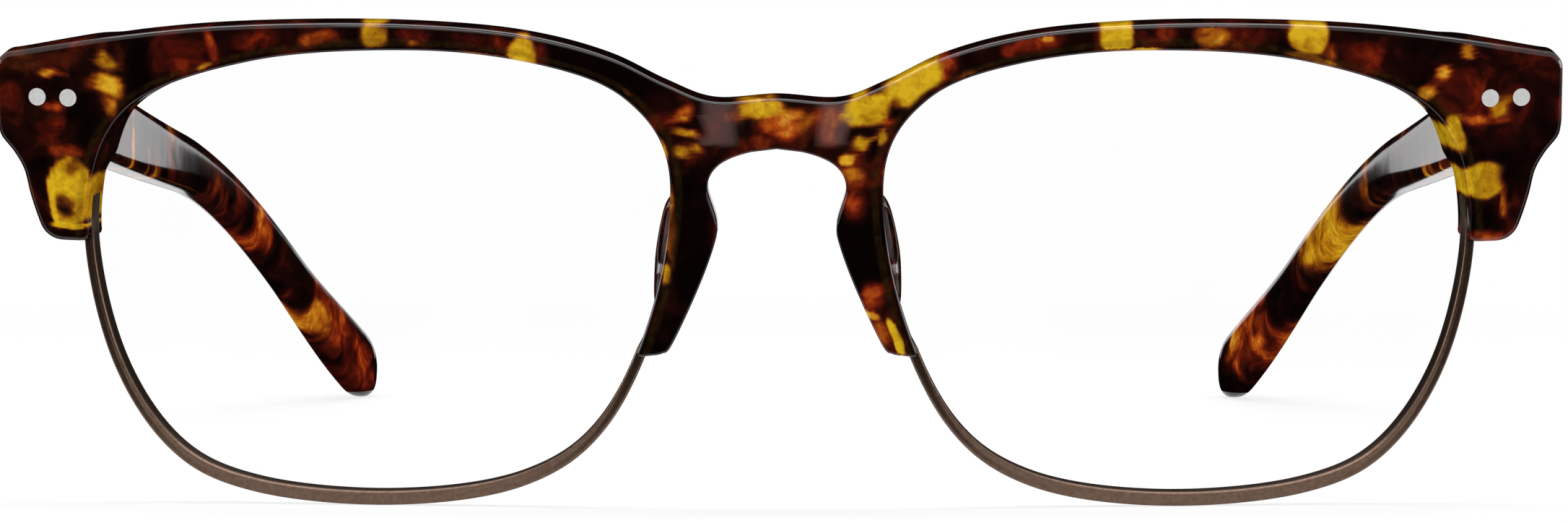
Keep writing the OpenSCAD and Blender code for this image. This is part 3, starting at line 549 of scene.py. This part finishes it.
def face_opening():
    """The lens opening as x, z on the front's face, clockwise from the top nose corner."""
    return lens_place(opening_ring(), 0.0)[:, [0, 2]]


def outer_line():
    """Outer edge of the +X half as two lines: over the brow from the middle of the bridge to the bottom
    of the temporal lobe, and from the bottom of the nasal lobe up the nose to the arch's middle."""
    rise = [[LENS_X + x * LENS_W / 2, BROW_Z - z] for x, z in BROW]
    first = [BRIDGE_W * 0.33, BRIDGE_Z - 0.3]
    brow = curve([[-first[0], first[1]], [0, BRIDGE_Z], first] + rise
                 + [[END_X - END_ROUND, END_TOP]], 24)[24:]
    s = SHOULDER_Z
    lobe = arc([LOBE_X - LOBE_ROUND + 0.3, LOBE_Z + LOBE_ROUND], LOBE_ROUND, -20, -90)
    end = curve([[END_X, s + 1.5], [END_X - 0.3, s + 0.2], [END_X - 1.5, s - 1.3], [END_X - 2.4, s - 2.9],
                 [END_X - 2.9, (s + LOBE_Z) / 2 - 0.35], lobe[0] + [0.38, 1.05], lobe[0]], 12)
    over = np.vstack([brow, arc([END_X - END_ROUND, END_TOP - END_ROUND], END_ROUND, 80, 0), end, lobe])
    half_arch = ARCH_W / 2
    nose = curve([[BRIDGE_W / 2 + 2.6, NASAL_Z + 0.1], [BRIDGE_W / 2 + 1.9, NASAL_Z + 0.25],
                  [BRIDGE_W / 2 + 1.0, NASAL_Z + 1.0], [BRIDGE_W / 2 - 1.3, NASAL_Z + 5.9],
                  [half_arch - 0.5, NASAL_Z + 9.9], [half_arch - 0.85, ARCH_Z - 6.9],
                  [half_arch, ARCH_Z - 3.7], [half_arch - 0.75, ARCH_Z - 1.75],
                  [half_arch - 2.95, ARCH_Z - 0.55], [0, ARCH_Z],
                  [-half_arch + 2.95, ARCH_Z - 0.55]], 14)[:-14]
    return over, nose


def crossing(line, height):
    """Place along a line where it passes a height, between its points."""
    z = line[:, 1] - height
    i = np.nonzero(np.diff(np.sign(z)))[0][0]
    return i, line[i] + (line[i + 1] - line[i]) * z[i] / (z[i] - z[i + 1])


def rounded_corner(before, corner, after, radius, steps=6):
    """A corner replaced by a quadratic curve that starts and ends one radius from it."""
    a = corner + (before - corner) / np.linalg.norm(before - corner) * radius
    b = corner + (after - corner) / np.linalg.norm(after - corner) * radius
    t = np.linspace(0, 1, steps + 1)[:, None]
    return a * (1 - t) ** 2 + corner * 2 * t * (1 - t) + b * t**2


def half_edge():
    """The edge of the +X half as one line: from the middle of the bridge over the brow, round the
    temporal lobe, over the opening, round the nasal lobe and up the nose to the arch's middle."""
    over, nose = outer_line()
    ring = face_opening()
    half = len(ring) // 2
    top = int(np.argmax(ring[:, 1]))
    # From the top of the opening down the temporal side and down the nasal side
    temporal = np.vstack([ring[top:], ring[:top]])
    nasal = temporal[::-1]
    i, a = crossing(temporal[:half], LOBE_Z)
    j, b = crossing(nasal[:half], NASAL_Z - 0.1)
    turn_a = rounded_corner(over[-1], a, temporal[max(i - 4, 0)], LOBE_CORNER)
    turn_b = rounded_corner(nasal[max(j - 4, 0)], b, nose[0], LOBE_CORNER)
    up = temporal[:i][::-1]
    up = up[np.linalg.norm(up - a, axis=1) > LOBE_CORNER]
    down = nasal[:j]
    down = down[np.linalg.norm(down - b, axis=1) > LOBE_CORNER]
    line = np.vstack([over, turn_a, up, down, turn_b, nose])
    keep = np.concatenate([[True], np.linalg.norm(np.diff(line, axis=0), axis=1) > 0.02])
    return line[keep]


def front_columns():
    """Ribs across the +X half, as matching lines of points: the lens side and the outer side at the same
    angle about POLE. Returns the lens side, the outer side, and which ribs end on the middle line."""
    fine = spaced(half_edge(), EDGE_GAP)
    turn = np.unwrap(np.arctan2(fine[:, 1] - POLE[1], fine[:, 0] - POLE[0]))
    low = int(np.argmin(turn))
    high = int(np.argmax(turn))
    over, lens, nose = fine[:low + 1][::-1], fine[low:high + 1], fine[high:][::-1]
    outer = np.vstack([over, nose])
    t_outer = np.maximum.accumulate(np.concatenate([turn[:low + 1][::-1], turn[high:][::-1]]))
    t_lens = np.maximum.accumulate(turn[low:high + 1])
    both = np.unique(np.concatenate([t_outer, t_lens]))
    kept = [both[0]]
    for t in both[1:]:
        if t - kept[-1] > RIB_TURN:
            kept.append(t)
    ribs = np.array(kept)

    def at_ribs(turns, line):
        """The points where the ribs meet a line. A tiny step keeps its angles rising."""
        rising = turns + 1e-9 * np.arange(len(turns))
        return np.stack([np.interp(ribs, rising, line[:, k]) for k in (0, 1)], axis=-1)

    middle = (ribs > turn[0]) & (ribs < turn[-1])
    return at_ribs(t_lens, lens), at_ribs(t_outer, outer), middle


def block_rise(x, z):
    """How far the end-piece's block stands behind the front's back: up a ramp to a flat plane."""
    flat = BLOCK_Y - BLOCK_SHORT
    return np.maximum(flat - back_y(x), 0) * smooth(*BLOCK_RAMP_X, x) * smooth(*BLOCK_RAMP_Z, z)


def middle_ribs(middle):
    """The first rib that ends on the middle line, and the first one after them."""
    first = int(np.argmax(middle))
    return first, first + int(middle.sum())


def edge_walk(middle):
    """One walk round the front's edge, as ribs: over the brow backwards to the temporal end, along the
    lens side, and up the nose to the arch. Returns which are on the lens side, and each one's rib."""
    n = len(middle)
    first, last = middle_ribs(middle)
    brow, lens, nose = np.arange(first - 1, 0, -1), np.arange(n), np.arange(n - 2, last - 1, -1)
    is_lens = np.concatenate([np.zeros(len(brow), bool), np.ones(n, bool), np.zeros(len(nose), bool)])
    return is_lens, np.concatenate([brow, lens, nose])


def front_half(side):
    """The +X half of the front: bevel rings and walls carried round its edge, and a ruled cap on each
    face between the lens side and the outer side. Side picks the half whose pattern it gets."""
    lens, outer, middle = front_columns()
    is_lens, rib = edge_walk(middle)
    edge = np.where(is_lens[:, None], lens[rib], outer[rib])
    inward = inward_normals(edge)
    s = along(edge)
    lens_s = s[is_lens]
    # Share of the wall's turn towards the centre of the bend: all of it beside the lens
    turned_in = smooth(-LEAN_FADE, 0, s - lens_s[0]) * (1 - smooth(0, LEAN_FADE, s - lens_s[-1]))
    x, z = edge[:, 0], edge[:, 1]
    bevel = NOSE_BEVEL + BROW_BEVEL * smooth(*BROW_BEVEL_X, x) + END_BEVEL * smooth(*END_BEVEL_X, x)
    bevel = smoothed(np.where(is_lens, LENS_BEVEL, bevel), 6)
    on_block = (block_rise(x, z) > 0.2) * (z > SHOULDER_Z) * (1.0 - is_lens)
    back_bevel = BACK_BEVEL + BLOCK_BEVEL * smoothed(on_block, 8)
    # The face's bevel is a little fuller than a quarter circle, and the back's is one
    rings = []
    for a in np.radians(np.linspace(0, 90, 6)):
        inset, down = (1 - math.sin(a) ** 1.25) * bevel, (1 - math.cos(a) ** 1.25) * bevel
        rings.append((inset, down, False))
    for a in np.radians(np.linspace(90, 0, 5)):
        inset, down = (1 - math.sin(a)) * back_bevel, (1 - math.cos(a)) * back_bevel
        rings.append((inset, down, True))
    rows = []
    for inset, down, from_back in rings:
        p = edge + inward * inset[:, None]
        rows.append(laid_in(p[:, 0], p[:, 1], down, from_back, turned_in))
    rows = np.stack(rows)
    glow, red = front_light(x, z, side)
    values = pattern(np.tile(glow, len(rows)), np.tile(red, len(rows)))
    parts = [(rows.reshape(-1, 3), grid_faces(len(rows), len(edge)), values)]
    for from_back, ring in ((False, rows[0]), (True, rows[-1])):
        parts.append(cap(ring, is_lens, rib, middle, from_back, side))
    return parts


def front_light(x, z, side):
    """The pattern's light and redness for a half drawn at +X. The mirrored half looks its own up by -x."""
    return patch_field(side * x, z + PATCH_LEVEL, FRONT_PATCHES, FRONT_SEED)


def smoothed(values, reach):
    """A running mean over reach points on each side."""
    kernel = np.ones(2 * reach + 1) / (2 * reach + 1)
    return np.convolve(np.pad(values, reach, mode="edge"), kernel, mode="valid")


def inward_normals(edge):
    """Unit directions into the acetate all along the edge, level on the middle line."""
    d = np.gradient(edge, axis=0)
    for k in (0, 1):
        d[:, k] = smoothed(d[:, k], 1)
    d[0] = [1, 0]
    d[-1] = [-1, 0]
    d /= np.linalg.norm(d, axis=1, keepdims=True)
    return np.stack([d[:, 1], -d[:, 0]], axis=-1)


def laid_in(x, z, down, from_back, turned_in):
    """Points of the front at a depth from its face or its back. Beside the lens they lean in with the
    bend, and elsewhere they go straight back."""
    front = sag(x)
    thick = back_y(x) - front + block_rise(x, z)
    depth = thick - down if from_back else down + 0 * x
    return np.stack([x * (1 - turned_in * depth / FRONT_R), front + depth, z], axis=-1)


# Distances from the lens of the cap's rows beside it, and the gap between the last two rows outside
NEAR_ROWS, OUTER_GAP = np.array([0, 0.12, 0.3, 0.5, 0.7, 0.9, 1.05, 1.2]), 0.12
# The groove's band beside the lens, as smooth starts and ends
GROOVE_IN, GROOVE_OUT = (0.1, 0.25), (0.78, 0.95)
# The bands of painted reflection on the bridge, each as the smooth start and end of a stretch across it,
# and how strong
PAINTED_REFLECTION_BANDS = [((-6.7, -6.4), (-4.4, -3.2)), ((3.7, 4.2), (6.2, 6.5))]
PAINTED_REFLECTION_SHARE = 0.42


def cap(ring, is_lens, rib, middle, from_back, side):
    """A face of the front, ruled between the two sides of one ring. Rows stand close together beside
    the lens and at the outer edge, and the middle line closes the ribs that have no outer edge."""
    n = len(middle)
    first, last = middle_ribs(middle)
    lens = np.zeros((n, 3))
    outer = np.zeros((n, 3))
    lens[rib[is_lens]] = ring[is_lens]
    outer[rib[~is_lens]] = ring[~is_lens]
    outer[0], outer[-1] = lens[0], lens[-1]
    share = np.linspace(0, 1, last - first + 2)[:, None]
    outer[first - 1:last + 1] = outer[first - 1] * (1 - share) + outer[last] * share
    length = np.linalg.norm((outer - lens)[:, [0, 2]], axis=1)
    near = NEAR_ROWS[None, :] * np.minimum(1, 0.45 * length / NEAR_ROWS[-1])[:, None]
    far_edge = length - OUTER_GAP * np.minimum(1, 0.2 * length / OUTER_GAP)
    between = near[:, -1:] + (far_edge - near[:, -1])[:, None] * np.linspace(0, 1, 12)[None, 1:]
    rows = np.hstack([near, between, length[:, None]]) / np.maximum(length, 1e-9)[:, None]
    x = lens[:, None, 0] + (outer - lens)[:, None, 0] * rows
    z = lens[:, None, 2] + (outer - lens)[:, None, 2] * rows
    if from_back:
        y = back_y(x) + block_rise(x, z)
        y[:, 0], y[:, -1] = lens[:, 1], outer[:, 1]
    else:
        y = sag(x)
    points = np.stack([x, y, z], axis=-1).transpose(1, 0, 2).reshape(-1, 3)
    gap = (rows * length[:, None]).T.reshape(-1)
    groove = smooth(*GROOVE_IN, gap) * (1 - smooth(*GROOVE_OUT, gap))
    across = side * points[:, 0]
    # Painted reflection: paler bands on the bridge's shoulders above the arch, on the face only
    in_band = sum(smooth(*start, across) * (1 - smooth(*end, across)) for start, end in PAINTED_REFLECTION_BANDS)
    above_arch = smooth(ARCH_Z + 0.2, ARCH_Z + 0.6, points[:, 2])
    painted_reflection = PAINTED_REFLECTION_SHARE * in_band * above_arch * (not from_back)
    values = pattern(*front_light(points[:, 0], points[:, 2], side), groove, painted_reflection)
    return points, grid_faces(rows.shape[1], n), values


def acetate_front():
    """Both halves of the front as one closed piece."""
    parts = []
    for side in (1, -1):
        for points, faces, values in front_half(side):
            parts.append((points * [side, 1, 1], faces, values))
    piece("acetate_front", parts, ACETATE, "front", ["browline_front"])


# Metal rims


def rim_end(x, extra):
    """Height of a rim's cut end above the lens's centre: the cut slopes up from the nose."""
    temporal, nasal = LOBE_Z + CUT_TEMPORAL - LENS_Z, NASAL_Z + CUT_NASAL - LENS_Z
    return extra + nasal + (temporal - nasal) * (x / OPENING_W + 0.5)


def squared(v, power):
    """A sine or cosine raised to a power with its sign kept, which squares a circle off."""
    return np.sign(v) * np.abs(v) ** power


def eyewire(side):
    """A rounded bar carried along the opening from one cut end to the other, with flat tongues on."""
    ring = opening_ring(24)
    low = ring[:, 1] < rim_end(ring[:, 0], TONGUE)
    start = int(np.nonzero(low & ~np.roll(low, 1))[0][0])
    path = np.roll(ring, -start, axis=0)[:int(low.sum())]
    path = spaced(path, 0.45)
    n = left_of(path)
    full = path[:, 1] < rim_end(path[:, 0], 0)
    step = np.where(full, 0, TONGUE_STEP)
    middle, half = (WIRE_FROM + WIRE_TO) / 2, (WIRE_TO - WIRE_FROM) / 2
    a = np.linspace(0, 2 * math.pi, 44, endpoint=False)
    # The bar starts a little inside the opening, and a shallow groove runs along its face
    on_tongue = np.where(path[:, 0] > 0, TONGUE_IN[1], TONGUE_IN[0])
    inside = smoothed(np.where(full, WIRE_IN + WIRE_IN_LOW * n[:, 1] ** 2, on_tongue), 2)[:, None]
    radial = WIRE_H / 2 + (WIRE_H / 2) * squared(np.cos(a), 2 / 5)
    deep = squared(np.sin(a), 2 / 5)
    in_groove = np.exp(-((radial - WIRE_GROOVE_AT) / WIRE_GROOVE_W) ** 2)
    deep = deep + WIRE_GROOVE * (deep < -0.5) * in_groove
    rows = []
    for r, d in zip(radial, deep):
        q = path + n * (r - inside * (2 - 2 * r / WIRE_H))
        rows.append(lens_place(q, middle + d * (half - step)))
    points = np.stack(rows, axis=1)
    first, last = (np.repeat(end.mean(axis=1, keepdims=True), len(a), axis=1)
                   for end in (points[:1], points[-1:]))
    points = np.concatenate([first, points, last], axis=0)
    name = side_name(side)
    piece("rim_" + name, rings_part(points), BRONZE, "front", ["eyewire_" + name], side)


# Lenses


def lens_piece(side):
    """A bowl of a lens: polar grids for its two faces, which bulge as spheres of LENS_R ahead of the
    bent front by the rise of such a sphere over the opening's height, closed by its edge just inside the
    acetate and the rim."""
    ring = opening_ring(12)
    n = np.roll(ring, -1, axis=0) - np.roll(ring, 1, axis=0)
    n = np.stack([-n[:, 1], n[:, 0]], axis=-1) / np.linalg.norm(n, axis=1)[:, None]
    ring = ring + n * LENS_GROWTH
    shares = np.linspace(0, 1, 14)
    # To a thousandth of a millimetre
    bulge = round(OPENING_H**2 / 8 / LENS_R, 3)
    faces = []
    for depth, order in zip(LENS_EDGE, (shares, shares[::-1])):
        for share in order:
            q = ring * share
            v = depth - bulge + LENS_R - np.sqrt(LENS_R**2 - q[:, 0] ** 2 - q[:, 1] ** 2)
            x = LENS_X + q[:, 0] * math.cos(TILT) - v * math.sin(TILT)
            y = sag(LENS_X) + q[:, 0] * math.sin(TILT) + v * math.cos(TILT)
            faces.append(np.stack([x, y, LENS_Z + q[:, 1]], axis=-1))
    parts = rings_part(np.stack(faces))
    name = side_name(side)
    piece("clear_lens_" + name, parts, LENS, "front", ["lens_" + name], side)


# Nose pads


def pad_piece(side):
    """A drop on the back of the nasal lobe: round rings carried down a bowed line, with a radius that
    swells and falls as a smooth curve."""
    line = curve(np.array(PAD) + [PAD_X, FRONT_T, NASAL_Z, 0], 10)
    a = np.linspace(0, 2 * math.pi, 32, endpoint=False)
    across, back, up, r = (line[:, k:k + 1] for k in range(4))
    points = np.stack([across + r * np.cos(a), back + r * np.sin(a), up + 0 * a], axis=-1)
    name = side_name(side)
    # Only the flames vary this tone
    parts = rings_part(points, pattern(np.full(points[..., 0].size, PAD_GLOW), PAD_RED))
    piece("pad_" + name, parts, ACETATE, "front", ["nose_pad_" + name], side)


# Temples


def temple_line(s):
    """Middle of a temple at s: straight down the slope, round a long bend and straight again. Its place
    is the sum of small steps in the direction it has turned to."""
    step = np.linspace(0, TEMPLE_LEN, 1500)
    start, end = STRAIGHT - BEND_EASE, STRAIGHT + BEND_R * math.radians(DROP) + BEND_EASE
    turned = np.radians(SLOPE + DROP * np.clip((step - start) / (end - start), 0, 1))
    heading, gap = (turned[1:] + turned[:-1]) / 2, step[1] - step[0]
    butt = BLOCK_Y + BUTT_GAP
    y = butt + np.concatenate([[0], np.cumsum(np.cos(heading) * gap)])
    top = HINGE[2] + (HINGE[1] - butt) * math.tan(math.radians(SLOPE))
    z = top - np.concatenate([[0], np.cumsum(np.sin(heading) * gap)])
    swept = s * math.tan(math.radians(TOE_IN)) + TIP_IN * (np.maximum(s, 0) / TEMPLE_LEN) ** 3
    x = END_X - TEMPLE_INSET - TEMPLE_T / 2 - swept
    return np.stack([x, np.interp(s, step, y), np.interp(s, step, z)], axis=-1), np.interp(s, step, turned)


def temple_piece(side):
    """A temple as rings carried along its line: nearly a rectangle at the hinge, nearly an ellipse at
    the tip, with rounded ends."""
    # The butt's small bevel: rings close together, each trimmed by less
    butt, butt_trim = np.array([0, 0, 0.04, 0.12, 0.25]), [9, 0.25, 0.14, 0.04, 0]
    length = TEMPLE_LEN - TIP_SHORT
    body = np.linspace(0.6, length - TIP_ROUND, 120)
    tip = length - TIP_ROUND * (1 - np.sin(np.linspace(0, math.pi / 2, 14)[1:]))
    s = np.concatenate([butt, body, tip])
    trim = np.concatenate([butt_trim, 0 * body, 0 * tip])
    middle, turned = temple_line(s)
    high = TEMPLE_H + (TEMPLE_MID_H - TEMPLE_H) * smooth(10, STRAIGHT + 7, s)
    high = high + (TEMPLE_TIP_H - TEMPLE_MID_H) * smooth(TEMPLE_LEN - 28, TEMPLE_LEN - 6, s)
    thick = TEMPLE_T - TEMPLE_THINS * smooth(0, STRAIGHT * 0.6, s)
    thick = thick + TEMPLE_THICKENS * smooth(STRAIGHT, length - 8, s)
    square = SQUARE_HINGE + (SQUARE_BEND - SQUARE_HINGE) * smooth(20, STRAIGHT, s)
    shrink = np.sqrt(np.clip(1 - (np.maximum(0, s - (length - TIP_ROUND)) / TIP_ROUND) ** 2, 0, 1))
    w = np.maximum(thick / 2 * shrink - trim, 0)[:, None]
    h = np.maximum(high / 2 * shrink - trim, 0)[:, None]
    a = np.linspace(0, 2 * math.pi, 64, endpoint=False)[None, :]
    across = w * squared(np.cos(a), 2 / square[:, None])
    up = h * squared(np.sin(a), 2 / square[:, None])
    up = np.where(up > 0, up * (1 - TOP_FALL * (1 - smooth(0, 9, s)))[:, None], up)
    # The butt stands upright, and the rings lean with the line from 12 mm on
    lean = (turned * smooth(0, 12, s))[:, None]
    up = up / np.cos(turned[:, None] - lean)
    points = middle[:, None, :] + np.stack([across, up * np.sin(lean), up * np.cos(lean)], axis=-1)
    name = side_name(side)
    parts = rings_part(points, pattern(*temple_light(s[:, None] + 0 * across, up, a + 0 * across, side)))
    piece("acetate_temple_" + name, parts, ACETATE, "temple_" + name, ["temple_" + name], side)


def temple_light(s, up, a, side):
    """Light and redness of a temple at s and up from its middle: upright threads of amber in its front
    part, and the patches of its own list. The outer face is shifted along from the inner one."""
    shift = 2 + 2 * np.cos(a)
    glow, red = patch_field(s + shift, up, RIGHT_TEMPLE if side > 0 else LEFT_TEMPLE, TEMPLE_SEED)
    # Each side reads the clouds at its own place
    threads = smooth(0.25, 0.8, cloud(s + 40 * side, THREAD_UP * up + 9, THREAD_W, THREAD_SEED))
    thread = THREAD * ((1 - smooth(*THREAD_FADE, s)) * threads)
    return np.maximum(glow, thread), red * (1 - thread)


# Studio


def background_rays(tree):
    """1 for the rays that should meet the white background: the camera's own, and those that metal,
    gloss and the lenses send on."""
    path = add(tree, "LightPath")
    seen = add(tree, "Math", {"operation": "MAXIMUM"},
               {0: path.outputs["Is Camera Ray"], 1: path.outputs["Is Transmission Ray"]}).outputs[0]
    return add(tree, "Math", {"operation": "MAXIMUM"},
               {0: seen, 1: path.outputs["Is Glossy Ray"]}).outputs[0]


def flat_sheet(name, x, y, z, material):
    """A rectangle of the studio, in metres, between a near and a far edge that each have a height."""
    mesh = bpy.data.meshes.new(name)
    corners = [(x[0], y[0], z[0]), (x[1], y[0], z[0]), (x[1], y[1], z[1]), (x[0], y[1], z[1])]
    mesh.from_pydata(corners, [], [(0, 1, 2, 3)])
    mesh.materials.append(material)
    sheet = new_object(name, mesh)
    return sheet


# The floor's share of plain white near the glasses, and the distances over which it grows to the whole
NEAR_WHITE, WHITE_FROM, WHITE_TO = 0.8, 0.12, 0.3


def white_floor():
    """A plain white sweep that takes the object's shadow near it, and is plain white further out."""
    made, tree, out = new_material("white_sweep")
    plain = add(tree, "BsdfDiffuse", links={0: linear("#f4f4f4")}).outputs[0]
    white = add(tree, "Emission", links={0: (1, 1, 1, 1), 1: 1.0}).outputs[0]
    place = add(tree, "TexCoord").outputs["Object"]
    away = add(tree, "VectorMath", {"operation": "LENGTH"}, {0: place}).outputs["Value"]
    share = add(tree, "MapRange", links={
        0: away, 1: WHITE_FROM, 2: WHITE_TO, 3: NEAR_WHITE, 4: 1.0}).outputs[0]
    most = add(tree, "Math", {"operation": "MULTIPLY"},
               {0: background_rays(tree), 1: share}).outputs[0]
    mixed = add(tree, "MixShader", links={0: most, 1: plain, 2: white}).outputs[0]
    tree.links.new(mixed, out.inputs[0])
    flat_sheet("floor", (-1.6, 1.6), (-1.6, 1.6), (0, 0), made)


# Black cards: name, two x, two y and the heights of the near and far edge. Those on the floor lie a
# little above it, and the last three stand behind the glasses with a gap low in the middle
CARD_Z = (0.0008, 0.0008)
CARDS = [("ahead", (-0.45, 0.45), (-0.7, -0.088), CARD_Z), ("under", (-0.6, 0.6), (-0.055, 0.1), CARD_Z),
         ("middle", (-0.06, 0.06), (0.1, 0.19), CARD_Z), ("behind", (-0.6, 0.6), (0.19, 0.5), CARD_Z),
         ("low_left", (-0.8, -0.1), (0.5, 0.5), (0.0, 0.05)),
         ("low_right", (0.1, 0.8), (0.5, 0.5), (0.0, 0.05)),
         ("high", (-0.8, 0.8), (0.5, 0.5), (0.05, 0.45))]
# Lamps: name, place, aim, width and depth in metres, and power in watts
LAMPS = [("top", (0, -0.02, 0.5), (0, 0, 0), (0.6, 0.14), 2.1),
         ("left", (-0.55, 0.0, 0.1), (0, -0.04, 0.03), (0.3, 0.18), 0.9),
         ("right", (0.55, 0.0, 0.1), (0, -0.04, 0.03), (0.3, 0.18), 0.9),
         ("front", (0, -0.5, 0.5), (0, -0.05, 0.02), (0.5, 0.12), 1.2)]


def black_cards():
    """Cards that show only in reflections, where they keep the gloss deep, as a studio's flags do."""
    made, tree, out = new_material("black_flock_card")
    black = add(tree, "BsdfDiffuse", links={0: linear("#050505")}).outputs[0]
    tree.links.new(black, out.inputs[0])
    for name, x, y, z in CARDS:
        card = flat_sheet("card_" + name, x, y, z, made)
        for ray in ("camera", "diffuse", "shadow", "transmission"):
            setattr(card, "visible_" + ray, False)


def soft_light():
    """A white background, a dim even light all round, and large soft lamps."""
    world = bpy.data.worlds.new("studio")
    world.use_nodes = True
    bpy.context.scene.world = world
    tree = world.node_tree
    tree.nodes.clear()
    dim = add(tree, "Background", links={0: (1, 1, 1, 1), 1: 0.4}).outputs[0]
    bright = add(tree, "Background", links={0: (1, 1, 1, 1), 1: 1.0}).outputs[0]
    mixed = add(tree, "MixShader", links={0: background_rays(tree), 1: dim, 2: bright}).outputs[0]
    out = add(tree, "OutputWorld")
    tree.links.new(mixed, out.inputs[0])
    for name, place, aim, size, power in LAMPS:
        lamp = bpy.data.lights.new(name, "AREA")
        lamp.shape = "RECTANGLE"
        lamp.size, lamp.size_y = size
        lamp.energy = power
        turn_to(new_object(name, lamp), place, aim)


def turn_to(thing, place, aim):
    """Puts a lamp or camera at a place, looking at a point with Z up."""
    thing.location = place
    thing.rotation_euler = (Vector(aim) - Vector(place)).to_track_quat("-Z", "Y").to_euler()


# The photograph's view, in the table's frame
VIEW_AZIMUTH, VIEW_PITCH, VIEW_DISTANCE, VIEW_LENS = 0.85, 2.67, 0.5, 127.3
VIEW_TARGET = (0.00065, -0.0736, 0.02264)


def camera():
    """A long lens level with the front, a little above it."""
    a, p = math.radians(VIEW_AZIMUTH), math.radians(VIEW_PITCH)
    away = np.array([math.sin(a) * math.cos(p), -math.cos(a) * math.cos(p), math.sin(p)]) * VIEW_DISTANCE
    lens = bpy.data.cameras.new("camera")
    lens.lens, lens.sensor_width = VIEW_LENS, 36.0
    lens.clip_start, lens.clip_end = 0.01, 10
    holder = new_object("camera", lens)
    turn_to(holder, tuple(np.array(VIEW_TARGET) + away), VIEW_TARGET)
    bpy.context.scene.camera = holder


def finish_cad_metal():
    """Gives the hinge, rivet, screw and core nodes, whose CAD shape is right, their metal."""
    for name, thing in frame["nodes"].items():
        if "core" in name:
            material = CORE
        elif "rivets" in name:
            material = RIVET
        elif "hinge" in name or "screws" in name:
            material = HINGE_METAL
        else:
            continue
        thing.data.materials.clear()
        thing.data.materials.append(material)


camera()
white_floor()
black_cards()
soft_light()
acetate_front()
for side in (-1, 1):
    eyewire(side)
    lens_piece(side)
    pad_piece(side)
    temple_piece(side)
finish_cad_metal()
bpy.context.scene.view_settings.view_transform = "Standard"
